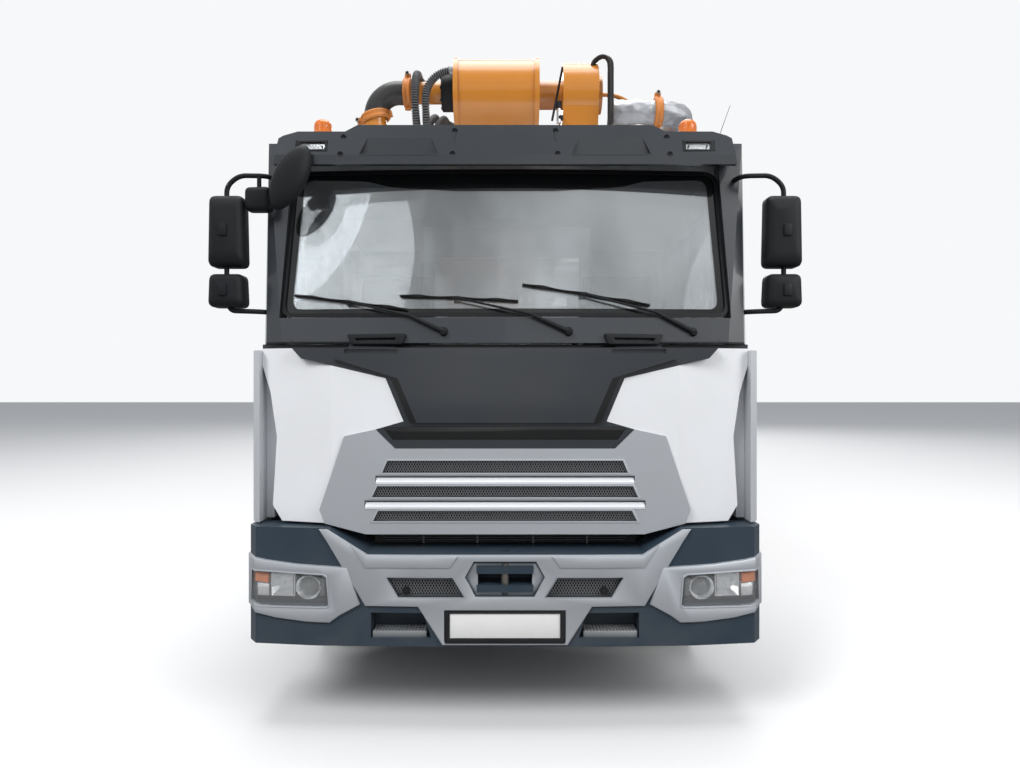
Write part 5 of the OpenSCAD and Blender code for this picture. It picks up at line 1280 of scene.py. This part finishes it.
class PUMPTRUCK_OT_boom(bpy.types.Operator):
    """Elbow and pipe of the second arm with its couplings, and the pin caps of the boom."""

    bl_idname = "pumptruck.boom"
    bl_label = "Boom fittings"

    def execute(self, context):
        pipe_black = paint("Pipe black", (0.020, 0.021, 0.022), 0.42, coat=0.2, dust=0.3, height=3.9)
        # The second arm's pipe, with the black elbow at the front end
        pipe, elbow, clamps, bolts = (bmesh.new() for _ in range(4))
        bend = PIPE_BEND
        z = P3.z - 0.025 - 2 * bend
        front, rear = P3.y + bend, P2.y - bend
        add_rod(pipe, (LANE_2, front, z), (LANE_2, rear, z), PIPE_R, 40)
        add_elbow(pipe, (LANE_2, front, z), (0, -1, 0), (0, 0, 1), bend, PIPE_R)
        add_elbow(pipe, (LANE_2, rear, z), (0, 1, 0), (0, 0, 1), bend, PIPE_R)
        turn = 0.150
        low = CROSS_Z - turn
        add_rod(pipe, (LANE_2, P3.y, z + bend), (LANE_2, P3.y, low), PIPE_R - 0.004, 40)
        add_elbow(elbow, (LANE_2, P3.y, low), (0, 0, 1), (1, 0, 0), turn, PIPE_R + 0.001)
        add_rod(elbow, (LANE_2 + turn, P3.y, CROSS_Z), (LANE_2 + turn + 0.055, P3.y, CROSS_Z), PIPE_R + 0.001,
                40)
        add_clamp(clamps, bolts, (LANE_2, P3.y, low - 0.008), (-0.25, 0, 1), PIPE_R, (-1, 0, -0.25))
        add_clamp(clamps, bolts, (LANE_2 + turn + 0.060, P3.y, CROSS_Z), (1, 0, 0), PIPE_R, (0, 0, 1))
        add_rod(pipe, (LANE_2 + turn + 0.060, P3.y, CROSS_Z), (DRUM_X[0] + 0.001, P3.y, CROSS_Z),
                PIPE_R - 0.004, 40)
        for y in (front + 0.06, P3.y + ARM_2 * 0.376, P3.y + ARM_2 * 0.667, rear - 0.06):
            add_clamp(clamps, bolts, (LANE_2, y, z), (0, 1, 0), PIPE_R, (-1, 0, 0))
        for y in (P3.y + ARM_2 * 0.118, P3.y + ARM_2 * 0.452, P2.y - ARM_2 * 0.129):
            add_box(pipe, (LANE_2 - 0.025, y - 0.03, P2.z + 0.09), (BOOM_X - 0.196, y + 0.03, P2.z + 0.13),
                    0.004)
            add_box(pipe, (LANE_2 - 0.025, y - 0.03, z + PIPE_R - 0.012),
                    (LANE_2 + 0.025, y + 0.03, P2.z + 0.091), 0.004)
            add_ring(pipe, [(PIPE_R, -0.028), (PIPE_R + 0.009, -0.026), (PIPE_R + 0.009, 0.026),
                            (PIPE_R, 0.028)],
                     (LANE_2, y, z), (0, 1, 0), 40)
        add_box(pipe, (LANE_2 - 0.088, P2.y - 0.088, z + bend + 0.0005),
                (LANE_2 + 0.088, P2.y + 0.088, P2.z + 0.09), 0.012)
        add_rod(pipe, (LANE_2 + 0.08, P2.y, P2.z), (BOOM_X - 0.368 - 0.087, P2.y, P2.z), 0.070, 36)
        made = finish_piece(pipe, "arm_2_pipe", "boom_orange", "arm_2_body", smooth=45)
        finish_piece(elbow, "arm_2_elbow", "trim_black", "arm_2_body", look=pipe_black, smooth=45)
        finish_piece(clamps, "arm_2_clamps", "boom_orange", "arm_2_body", look=finish("clamp_orange"))
        finish_piece(bolts, "arm_2_bolts", "rod_steel", "arm_2_body", look=finish("bolt_steel"))
        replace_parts(made, "pipe_2")
        # Pin caps
        for body, pivot, half in (("turret_body", P1, 0.289), ("arm_1_body", P2, 0.291)):
            caps, screws = bmesh.new(), bmesh.new()
            add_pin_cap(caps, screws, pivot + Vector((half, 0, 0)), (1, 0, 0), 0.076)
            finish_piece(caps, body + "_pin_caps", "rod_steel", body, look=finish("body_steel"))
            finish_piece(screws, body + "_pin_screws", "rod_steel", body, look=finish("bolt_steel"))
        return {"FINISHED"}


# Hoses
HOSE_PITCH = 0.0145
GUARD_R = 0.026
LANE_3 = 1.25 - 0.085
PIPE_3_Z = P3.z - 0.112
RUN_3 = (0.690, HEAD_X[1] + 0.040)


def curve_mesh(line):
    """The mesh that a curve draws. The curve is used up."""
    held = bpy.data.objects.new("curve", line)
    bm = bmesh.new()
    bm.from_mesh(held.to_mesh())
    held.to_mesh_clear()
    bpy.data.objects.remove(held)
    bpy.data.curves.remove(line)
    return bm


def smooth_path(points, pitch):
    """Evenly spaced places and directions along a smooth line through points."""
    line = smooth_curve("path", points)
    line.resolution_u = 24
    drawn = curve_mesh(line)
    drawn.verts.ensure_lookup_table()
    dots = [v.co.copy() for v in drawn.verts]
    drawn.free()
    spaced, carry = [], 0.0
    for a, b in zip(dots, dots[1:]):
        step = (b - a).length
        while carry < step:
            spaced.append((a.lerp(b, carry / step), (b - a).normalized()))
            carry += pitch
        carry -= step
    return spaced, sum((b - a).length for a, b in zip(dots, dots[1:]))


def guarded_hose(points, name, body):
    """A hydraulic hose in a ribbed guard, with a fitting at each end."""
    hose = bend_tube(points, GUARD_R - 0.006, name, "trim_black", body, resolution=16)
    spots, run = smooth_path(points, HOSE_PITCH)
    ribs = bmesh.new()
    for at, way in spots[2:-2]:
        add_ring(ribs,
                 [(GUARD_R - 0.008, -0.0042), (GUARD_R - 0.001, -0.0030), (GUARD_R, -0.0012),
                  (GUARD_R, 0.0012), (GUARD_R - 0.001, 0.0030), (GUARD_R - 0.008, 0.0042)],
                 at, way, 20, closed=False)
    guard = finish_piece(ribs, name + "_guard", "trim_black", body,
                         look=paint("Hose guard", (0.085, 0.088, 0.093), 0.5, dust=0.4, height=4.2),
                         smooth=50)
    ends = bmesh.new()
    for (at, way), far in ((spots[0], 1), (spots[-1], -1)):
        add_ring(ends, [(GUARD_R - 0.006, -0.008), (GUARD_R + 0.004, -0.008), (GUARD_R + 0.004, 0.022),
                        (GUARD_R + 0.001, 0.026), (GUARD_R - 0.006, 0.026)], at, way * far, 24)
    fitting = finish_piece(ends, name + "_fittings", "rod_steel", body, look=finish("body_steel"))


def plain_hose(points, radius, name, body):
    """A smooth hydraulic hose."""
    hose = bend_tube(points, radius, name, "trim_black", body,
                     look=paint("Hose rubber", (0.016, 0.016, 0.017), 0.4, dust=0.25, height=4.2),
                     resolution=12)
    run = smooth_path(points, 0.02)[1]


class PUMPTRUCK_OT_hoses(bpy.types.Operator):
    """Ribbed hoses by the end drum, the bundle at the boom head, and the third arm's pipe in its foil."""

    bl_idname = "pumptruck.hoses"
    bl_label = "Boom hoses and wrapped pipe"

    def execute(self, context):
        web, flange = BOOM_X - 0.194, DRUM_X[0] + 0.001
        guarded_hose([(web, -3.660, 3.560), (-0.346, -3.677, 3.560), (-0.423, -3.725, 3.560),
                      (-0.479, -3.797, 3.560), (-0.504, -3.885, 3.560), (-0.508, -3.975, 3.550),
                      (-0.518, -4.058, 3.511), (-0.531, -4.131, 3.457), (-0.545, -4.200, 3.399),
                      (-0.558, -4.272, 3.343), (-0.569, -4.351, 3.298), (-0.573, -4.440, 3.280),
                      (-0.573, -4.528, 3.303), (-0.573, -4.593, 3.366), (-0.573, -4.620, 3.453),
                      (-0.573, -4.608, 3.543), (-0.573, -4.555, 3.616), (-0.573, -4.472, 3.655),
                      (-0.570, -4.381, 3.656), (-0.546, -4.293, 3.656), (-0.498, -4.215, 3.656),
                      (-0.429, -4.155, 3.656), (-0.346, -4.116, 3.656), (web, -4.103, 3.656)],
                     "drum_hose_outer", "arm_2_body")
        guarded_hose([(web, -3.820, 3.520), (-0.326, -3.834, 3.520), (-0.385, -3.875, 3.520),
                      (-0.424, -3.935, 3.520), (-0.436, -4.005, 3.520), (-0.441, -4.074, 3.504),
                      (-0.451, -4.135, 3.468), (-0.464, -4.190, 3.423), (-0.478, -4.242, 3.375),
                      (-0.491, -4.296, 3.329), (-0.502, -4.356, 3.291), (-0.508, -4.424, 3.271),
                      (-0.508, -4.495, 3.279), (-0.508, -4.557, 3.314), (-0.508, -4.601, 3.370),
                      (-0.508, -4.619, 3.439), (-0.497, -4.620, 3.509), (-0.460, -4.620, 3.570),
                      (-0.402, -4.620, 3.611), (flange, -4.620, 3.626)],
                     "drum_hose_inner", "arm_2_body")
        bundle = [(0.542, -4.583, 3.667), (0.561, -4.597, 3.700), (0.591, -4.620, 3.715),
                  (0.623, -4.644, 3.705), (0.645, -4.660, 3.675), (0.651, -4.664, 3.634),
                  (0.651, -4.664, 3.593), (0.651, -4.664, 3.551), (0.651, -4.664, 3.509),
                  (0.651, -4.664, 3.468), (0.651, -4.664, 3.426), (0.651, -4.664, 3.384),
                  (0.651, -4.660, 3.343), (0.651, -4.636, 3.309), (0.651, -4.599, 3.292),
                  (0.651, -4.558, 3.290), (0.651, -4.516, 3.290), (0.651, -4.474, 3.290),
                  (0.651, -4.433, 3.290), (0.641, -4.393, 3.290), (0.613, -4.363, 3.290),
                  (HEAD_X[1] - 0.013, -4.352, 3.290)]
        for i, (dx, dy) in enumerate(((0, 0), (0.014, 0.012), (-0.008, 0.019), (0.008, 0.032))):
            # Each line keeps its place in the bundle and enters the arm below the one before
            route = [(x if k in (0, len(bundle) - 1) else x + dx, y + dy,
                      z - 0.019 * i * min(max(k - 8, 0) / 6, 1))
                     for k, (x, y, z) in enumerate(bundle)]
            plain_hose(route, 0.0085, "head_hose_%d" % (i + 1), "arm_3_body")
        small = bmesh.new()
        add_rod(small, (DRUM_X[0] - 0.085, P3.y, CROSS_Z), (DRUM_X[0], P3.y, CROSS_Z), 0.118, 40, bevel=0.008)
        for i in range(8):
            a = math.pi * i / 4
            add_bolt(small, (DRUM_X[0] - 0.085, P3.y + 0.098 * math.cos(a), CROSS_Z + 0.098 * math.sin(a)),
                     (-1, 0, 0), 0.009)
        finish_piece(small, "drum_swivel", "trim_black", "arm_2_body")
        strut, bright = bmesh.new(), bmesh.new()
        add_rod(strut, (HEAD_X[0] - 0.002, -4.585, 3.662), (0.290, -4.600, 3.315), 0.0075, 12)
        add_box(strut, (HEAD_X[0] - 0.030, -4.606, 3.325), (HEAD_X[0], -4.560, 3.350), 0.004)
        add_rod(bright, (0.333, -4.590, 3.300), (0.333, -4.590, 3.402), 0.014, 20, bevel=0.002)
        add_rod(strut, (0.333, -4.590, 3.395), (0.333, -4.590, 3.440), 0.019, 20, bevel=0.003)
        finish_piece(strut, "head_strut", "trim_black", "arm_3_body")
        finish_piece(bright, "head_strut_rod", "rod_steel", "arm_3_body")
        tube_line = [(HEAD_X[1] - 0.001, -4.400, 3.553), (0.66, -4.400, 3.553), (0.74, -4.402, 3.537),
                     (0.805, -4.406, 3.498), (0.848, -4.410, 3.452)]
        bend_tube(tube_line, 0.014, "head_grease_line", "boom_orange", "arm_3_body", resolution=12)
        # The third arm's pipe: foil wrap over its front end, then plain
        bend, z = PIPE_BEND, PIPE_3_Z
        foil = bmesh.new()
        corner = LANE_3 - bend
        neck = [(0.0, -0.02), (0.040, -0.022), (0.062, -0.010), (0.072, 0.012), (0.077, 0.04)]
        sleeve = [(0.078, 0.04 + (corner - RUN_3[0] - 0.04) * i / 24) for i in range(1, 25)]
        add_ring(foil, neck + sleeve, (RUN_3[0], P3.y, z), (1, 0, 0), 64, closed=False)
        add_elbow(foil, (corner, P3.y, z), (1, 0, 0), (0, 1, 0), bend, 0.078, 22, 64)
        add_ring(foil, [(0.078, 0.012 * i) for i in range(0, 46)] + [(0.070, 0.560), (0.060, 0.566)],
                 (LANE_3, P3.y + bend, z), (0, 1, 0), 64, closed=False)
        bmesh.ops.remove_doubles(foil, verts=foil.verts, dist=0.002)
        bmesh.ops.recalc_face_normals(foil, faces=foil.faces)
        foil.normal_update()
        for v in foil.verts:
            fold = noise.noise(v.co * 7) * 0.010 + noise.noise(v.co * 24) * 0.0065
            fold += abs(noise.noise(v.co * 55)) * 0.0045
            v.co += v.normal * (fold - 0.002)
        finish_piece(foil, "foil_wrap", "wrap_silver", "arm_3_body", smooth=75)
        lane, clamps, bolts = bmesh.new(), bmesh.new(), bmesh.new()
        start = P3.y + bend + 0.545
        add_rod(lane, (LANE_3, start, z), (LANE_3, P4.y - bend, z), PIPE_R, 40)
        add_elbow(lane, (LANE_3, P4.y - bend, z), (0, 1, 0), (-1, 0, 0), bend, PIPE_R)
        add_rod(lane, (LANE_3 - bend, P4.y, z), (RUN_3[1], P4.y, z), PIPE_R, 40)
        for y in (P3.y + ARM_3 * 0.12, P3.y + ARM_3 * 0.5, P4.y - ARM_3 * 0.12):
            add_box(lane, (HEAD_X[1] - 0.014, y - 0.03, P1.z), (LANE_3 + 0.03, y + 0.03, P1.z + 0.06), 0.004)
            add_box(lane, (LANE_3 - 0.03, y - 0.03, P1.z + 0.059),
                    (LANE_3 + 0.03, y + 0.03, z - PIPE_R + 0.012), 0.004)
            add_ring(lane, [(0.079, -0.028), (0.086, -0.026), (0.086, 0.026), (0.079, 0.028)], (LANE_3, y, z),
                     (0, 1, 0), 40)
            add_bolt(bolts, (LANE_3 - 0.10, y, P1.z + 0.06), (0, 0, 1), 0.010)
        for y in (P3.y + ARM_3 * 0.35, P3.y + ARM_3 * 0.65, P4.y - bend - 0.05):
            add_clamp(clamps, bolts, (LANE_3, y, z), (0, 1, 0), PIPE_R, (-1, 0, 0.4))
        add_clamp(clamps, bolts, (0.985, P3.y, z), (1, 0, 0), PIPE_R + 0.004, (0, 0, 1))
        made = finish_piece(lane, "arm_3_pipe", "boom_orange", "arm_3_body", smooth=45)
        finish_piece(clamps, "arm_3_clamps", "boom_orange", "arm_3_body", look=finish("clamp_orange"))
        finish_piece(bolts, "arm_3_bolts", "rod_steel", "arm_3_body", look=finish("bolt_steel"))
        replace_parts(made, "pipe_3")
        # Couplings over the plain flanges of the first and fourth arms' pipes and the delivery line
        for name, body, x, line, height in (
                ("arm_1", "arm_1_body", BOOM_X - 0.368, (P1.y + 0.52, P1.y + 3.0, P1.y + 5.52, P2.y - 1.02),
                 P1.z + 0.02),
                ("arm_4", "arm_4_body", HEAD_X[1] + 0.120, (TIP_Y + 2.205, TIP_Y + 4.41, P4.y - 0.33),
                 P4.z + 0.11),
                ("delivery", "truck", 0.0, (-1.3, 1.05, 2.42), 1.47)):
            rings, pins = bmesh.new(), bmesh.new()
            for y in line:
                add_clamp(rings, pins, (x, y, height), (0, 1, 0), PIPE_R,
                          (1, 0, 0) if body == "truck" else (0.3, 0, -1))
            finish_piece(rings, name + "_clamps", "boom_orange", body, look=finish("clamp_orange"))
            finish_piece(pins, name + "_clamp_bolts", "rod_steel", body, look=finish("bolt_steel"))
        return {"FINISHED"}


# Doors, chassis and rear
DOOR_Y = (-5.33, -4.33)
CAB_HALF = 1.23
WINDOW = [(-5.25, 1.98), (-4.40, 1.93), (-4.40, 2.70), (-5.18, 2.70), (-5.25, 2.60)]
DECK_TOP = 1.60
DECK_EDGE = 0.96
DECK_Y = (-1.80, 2.92)
TANK_Y = (-2.55, -1.45)
SLEW = Vector((0, -2.7, 1.702))


def loop_tube(points, radius, name, body):
    """A round strip that follows a closed outline."""
    line = bpy.data.curves.new(name, "CURVE")
    line.dimensions = "3D"
    line.bevel_depth = radius
    line.bevel_resolution = 2
    spline = line.splines.new("POLY")
    spline.points.add(len(points) - 1)
    for p, co in zip(spline.points, points):
        p.co = (*co, 1)
    spline.use_cyclic_u = True
    return finish_piece(curve_mesh(line), name, "trim_black", body, smooth=60)


class PUMPTRUCK_OT_doors(bpy.types.Operator):
    """Window seals, handles, door edge strips and grab bars on both sides of the cab."""

    bl_idname = "pumptruck.doors"
    bl_label = "Doors"

    def execute(self, context):
        for side, word in SIDE.items():
            body = "door_%s_body" % word
            x = side * CAB_HALF
            loop_tube([(x, y, z) for y, z in rounded(WINDOW, 0.06, 5)], 0.010, "door_seal_" + word, body)
            bm = bmesh.new()
            for reach, ys, zs in ((0.018, (-4.575, -4.425), (1.823, 1.845)),
                                  (0.012, (-4.448, -4.428), (1.815, 1.852))):
                add_side_box(bm, side, (CAB_HALF - 0.002, CAB_HALF + reach), ys, zs, 0.004)
            add_rod(bm, (x - side * 0.002, -4.385, 1.838), (x + side * 0.006, -4.385, 1.838), 0.012, 20,
                    bevel=0.002)
            finish_piece(bm, "door_handle_" + word, "trim_black", body)
            edge = bmesh.new()
            add_side_box(edge, side, (CAB_HALF, CAB_HALF + 0.005), (DOOR_Y[0] + 0.10, DOOR_Y[1] - 0.02),
                         (1.300, 1.345), 0.002)
            finish_piece(edge, "door_rub_strip_" + word, "trim_black", body)
            tube([(x - side * 0.004, -4.270, 1.92), (x + side * 0.052, -4.270, 1.92),
                  (x + side * 0.052, -4.270, 2.56), (x - side * 0.004, -4.270, 2.56)],
                 0.013, "grab_bar_" + word)
        return {"FINISHED"}


class PUMPTRUCK_OT_chassis(bpy.types.Operator):
    """Tank straps and cap, battery cover, mud flaps, the deck's tread and lamps, and rows of bolts."""

    bl_idname = "pumptruck.chassis"
    bl_label = "Chassis, tanks and deck"

    def execute(self, context):
        straps = bmesh.new()
        outline = [(0.560, 0.500), (1.120, 0.500), (1.180, 0.560), (1.180, 0.980), (1.120, 1.040),
                   (0.620, 1.040), (0.560, 0.980)]
        for y in (TANK_Y[0] + 0.23, TANK_Y[1] - 0.15):
            outer = rounded(grown(outline, 0.004), 0.012, 2)
            inner = rounded(grown(outline, -0.002), 0.012, 2)
            for (a, b), (c, d) in zip(zip(outer, outer[1:] + outer[:1]), zip(inner, inner[1:] + inner[:1])):
                add_prism(straps, [(a[0], y - 0.03, a[1]), (b[0], y - 0.03, b[1]), (d[0], y - 0.03, d[1]),
                                   (c[0], y - 0.03, c[1])], (0, 0.06, 0))
        add_ring(straps, [(0.0, 1.108), (0.050, 1.108), (0.056, 1.102), (0.056, 1.076), (0.0, 1.076)],
                 (0.9, -2.4, 0), (0, 0, 1), 32)
        for k in range(4):
            a = math.pi * k / 2
            x, y = 0.9 + 0.056 * math.cos(a), -2.4 + 0.056 * math.sin(a)
            add_box(straps, (x - 0.007, y - 0.007, 1.078), (x + 0.007, y + 0.007, 1.106), 0.003)
        finish_piece(straps, "tank_straps", "body_steel")
        lid = bmesh.new()
        add_box(lid, (-1.156, -2.056, 0.935), (-0.556, -1.444, 1.046), 0.010)
        for y in (-1.90, -1.60):
            add_box(lid, (-1.168, y - 0.02, 0.880), (-1.150, y + 0.02, 0.965), 0.004)
        for z in (0.60, 0.66, 0.72, 0.78, 0.84):
            add_box(lid, (-1.153, -1.98, z), (-1.149, -1.52, z + 0.018), 0.001)
        finish_piece(lid, "battery_cover", "trim_black")
        bands = bmesh.new()
        for z in (0.64, 0.88):
            for x in (-1.02, -0.68):
                add_ring(bands, [(0.099, -0.018), (0.104, -0.018), (0.104, 0.018), (0.099, 0.018)],
                         (x, -2.35, z), (1, 0, 0), 40)
            add_ring(bands, [(0.0, 0.012), (0.040, 0.010), (0.080, 0.003), (0.100, -0.004)],
                     (-1.12, -2.35, z), (-1, 0, 0), 40)
        finish_piece(bands, "reservoir_bands", "body_steel")
        flaps, irons = bmesh.new(), bmesh.new()
        for side in (1, -1):
            for y, top, inside in ((2.776, 0.800, 0.60), (-3.714, 0.760, 0.63)):
                low, high = sorted((side * inside, side * 1.225))
                add_box(flaps, (low, y, 0.230), (high, y + 0.008, top), 0.002)
                for k in range(9):
                    x = low + (k + 0.5) * (high - low) / 9
                    add_box(flaps, (x - 0.012, y + 0.007, 0.26), (x + 0.012, y + 0.012, top - 0.08), 0.002)
            add_side_box(irons, side, (0.60, 1.14), (2.783, 2.822), (0.750, 0.795), 0.004)
        finish_piece(flaps, "mud_flaps", "trim_black", look=finish("flap_rubber"))
        finish_piece(irons, "mud_flap_irons", "chassis_paint")
        # Tread pattern of the deck: short raised bars, every second one turned
        tread = bmesh.new()
        pitch = 0.054
        across_n, along_n = int(2 * DECK_EDGE / pitch) - 1, int((DECK_Y[1] - DECK_Y[0]) / pitch) - 1
        flat_bar = Matrix.Diagonal((1, 0.34, 1, 1))
        for i in range(across_n):
            for k in range(along_n):
                x = -DECK_EDGE + (i + 1) * pitch
                y = DECK_Y[0] + (k + 1) * pitch
                turn = Matrix.Rotation(math.pi / 4 * (1 if (i + k) % 2 else -1), 4, "Z")
                bmesh.ops.create_cone(tread, cap_ends=True, segments=4, radius1=0.020, radius2=0.014,
                                      depth=0.0035,
                                      matrix=Matrix.Translation((x, y, DECK_TOP + 0.0013)) @ turn @ flat_bar)
        finish_piece(tread, "deck_tread", "body_steel", smooth=20)
        # Side marker lamps along the deck
        marks, holders = bmesh.new(), bmesh.new()
        for side in (1, -1):
            for y in (-1.2, 0.6, 2.2):
                add_side_box(holders, side, (DECK_EDGE, DECK_EDGE + 0.008), (y - 0.055, y + 0.055),
                             (1.572, 1.598), 0.002)
                add_side_box(marks, side, (DECK_EDGE, DECK_EDGE + 0.020), (y - 0.045, y + 0.045),
                             (1.575, 1.595), 0.004)
        finish_piece(holders, "side_marker_feet", "trim_black")
        finish_piece(marks, "side_markers", "lamp_lens", look=finish("amber"))
        ring = bmesh.new()
        for i in range(36):
            a = 2 * math.pi * i / 36
            add_bolt(ring, SLEW + Vector((0.612 * math.cos(a), 0.612 * math.sin(a), 0.099)), (0, 0, 1), 0.014)
        finish_piece(ring, "slew_bolts", "rod_steel", "turret_body", look=finish("bolt_steel"))
        rails = bmesh.new()
        for side in (1, -1):
            for i in range(27):
                for z in (0.83, 0.99):
                    add_bolt(rails, (side * 0.430, i * 0.30 - 3.5, z), (side, 0, 0), 0.013)
        finish_piece(rails, "rail_bolts", "chassis_paint")
        return {"FINISHED"}


class PUMPTRUCK_OT_rear(bpy.types.Operator):
    """Tail lamps on their arms, and the hopper's rubber apron and ribs."""

    bl_idname = "pumptruck.rear"
    bl_label = "Hopper and tail lamps"

    def execute(self, context):
        red = clear("Red lens", (0.55, 0.012, 0.010), 0.15, 0.95, 0.3)
        amber = finish("amber")
        white = clear("White lens", (0.85, 0.87, 0.9), 0.12, 0.9, 0.3)
        arms, cases = bmesh.new(), bmesh.new()
        lenses = {red: bmesh.new(), amber: bmesh.new(), white: bmesh.new()}
        for side in (1, -1):
            add_side_box(arms, side, (0.415, 1.00), (4.500, 4.545), (0.860, 0.905), 0.006)
            add_side_box(arms, side, (0.600, 0.640), (4.540, 4.562), (0.800, 0.950), 0.004)
            add_side_box(arms, side, (0.930, 0.970), (4.540, 4.562), (0.800, 0.950), 0.004)
            add_side_box(cases, side, (0.580, 1.000), (4.560, 4.610), (0.800, 0.950), 0.014)
            for look, *xs in ((red, 0.880, 0.990), (amber, 0.760, 0.872), (white, 0.675, 0.752),
                              (red, 0.592, 0.667)):
                add_side_box(lenses[look], side, xs, (4.606, 4.622), (0.812, 0.938), 0.008)
        finish_piece(arms, "tail_lamp_arms", "chassis_paint")
        finish_piece(cases, "tail_lamp_cases", "trim_black")
        for name, look in (("tail_lenses_red", red), ("tail_lenses_amber", amber),
                           ("tail_lenses_white", white)):
            finish_piece(lenses[look], name, "lamp_lens", look=look)
        rim = bmesh.new()
        for x in (-0.818, 0.810):
            add_box(rim, (x, 4.762, 1.452), (x + 0.008, 5.790, 1.476), 0.002)
        for x in (-0.815, 0.809):
            for y in (4.90, 5.25, 5.60):
                add_box(rim, (x, y - 0.012, 1.10), (x + 0.006, y + 0.012, 1.455), 0.002)
        add_box(rim, (-0.80, 5.794, 1.500), (0.80, 5.7995, 1.536), 0.002)
        finish_piece(rim, "hopper_ribs", "boom_orange")
        apron = bmesh.new()
        add_box(apron, (-0.795, 5.750, 1.536), (0.795, 5.758, 1.570), 0.002)
        finish_piece(apron, "hopper_apron", "trim_black", look=finish("flap_rubber"))
        return {"FINISHED"}


class PUMPTRUCK_OT_lines(bpy.types.Operator):
    """Steel oil lines along the webs of the arms, in clips, within the edges of the flanges."""

    bl_idname = "pumptruck.lines"
    bl_label = "Hydraulic lines"

    def execute(self, context):
        # Each arm's web face and its outward side, the ends of the arm, and how far from them the lines stop
        lines = {
            "arm_1_body": (0.149, 1, P1, P2, 0.9, 1.3), "arm_2_body": (0.134, 1, P3, P2, 1.4, 1.2),
            "arm_3_body": (0.374, -1, P3, P4, 0.9, 1.2),
            "arm_4_body": (0.531, 1, Vector((0, TIP_Y, P4.z)), P4, 0.7, 1.0),
        }
        for body, (face, out, start, end, first, last) in lines.items():
            pipes, clips = bmesh.new(), bmesh.new()
            span = end.y - start.y
            for drop in (0.0, 0.022, 0.044):
                ends = []
                for y in (start.y + first, end.y - last):
                    z = start.z + (end.z - start.z) * (y - start.y) / span + 0.022 - drop
                    ends.append(Vector((face + out * 0.0055, y, z)))
                add_rod(pipes, ends[0], ends[1], 0.0045, 10)
            steps = int((span - first - last) / 0.9)
            for i in range(steps + 1):
                y = start.y + first + 0.05 + i * (span - first - last - 0.1) / steps
                z = start.z + (end.z - start.z) * (y - start.y) / span
                low, high = sorted((face - out * 0.002, face + out * 0.0085))
                add_box(clips, (low, y - 0.014, z - 0.034), (high, y + 0.014, z + 0.034), 0.002)
            finish_piece(pipes, body + "_oil_lines", "rod_steel", body, smooth=60)
            finish_piece(clips, body + "_line_clips", "trim_black", body)
        return {"FINISHED"}


STEPS = (PUMPTRUCK_OT_stage, PUMPTRUCK_OT_paint_frame, PUMPTRUCK_OT_wheels, PUMPTRUCK_OT_bumper,
         PUMPTRUCK_OT_screen, PUMPTRUCK_OT_grille, PUMPTRUCK_OT_visor, PUMPTRUCK_OT_lamps,
         PUMPTRUCK_OT_wipers, PUMPTRUCK_OT_mirrors, PUMPTRUCK_OT_boom, PUMPTRUCK_OT_hoses, PUMPTRUCK_OT_doors,
         PUMPTRUCK_OT_chassis, PUMPTRUCK_OT_rear, PUMPTRUCK_OT_lines)


class PUMPTRUCK_PT_panel(bpy.types.Panel):
    bl_idname = "PUMPTRUCK_PT_panel"
    bl_label = "Pump truck"
    bl_space_type = "VIEW_3D"
    bl_region_type = "UI"
    bl_category = "Pump truck"

    def draw(self, context):
        """Lists the colours, the sizes and the steps."""
        for group in (context.scene.pump_truck_colours, context.scene.pump_truck_sizes):
            for name in group.__annotations__:
                self.layout.prop(group, name)
        for step in STEPS:
            self.layout.operator(step.bl_idname)


CLASSES = (PumpTruckColours, PumpTruckSizes, *STEPS, PUMPTRUCK_PT_panel)


def register():
    for made in CLASSES:
        bpy.utils.register_class(made)
    bpy.types.Scene.pump_truck_colours = bpy.props.PointerProperty(type=PumpTruckColours)
    bpy.types.Scene.pump_truck_sizes = bpy.props.PointerProperty(type=PumpTruckSizes)


def unregister():
    del bpy.types.Scene.pump_truck_sizes
    del bpy.types.Scene.pump_truck_colours
    for made in reversed(CLASSES):
        bpy.utils.unregister_class(made)


def main():
    register()
    for step in STEPS:
        group, name = step.bl_idname.split(".")
        getattr(getattr(bpy.ops, group), name)()
    bpy.context.view_layer.update()


if __name__ == "__main__":
    main()
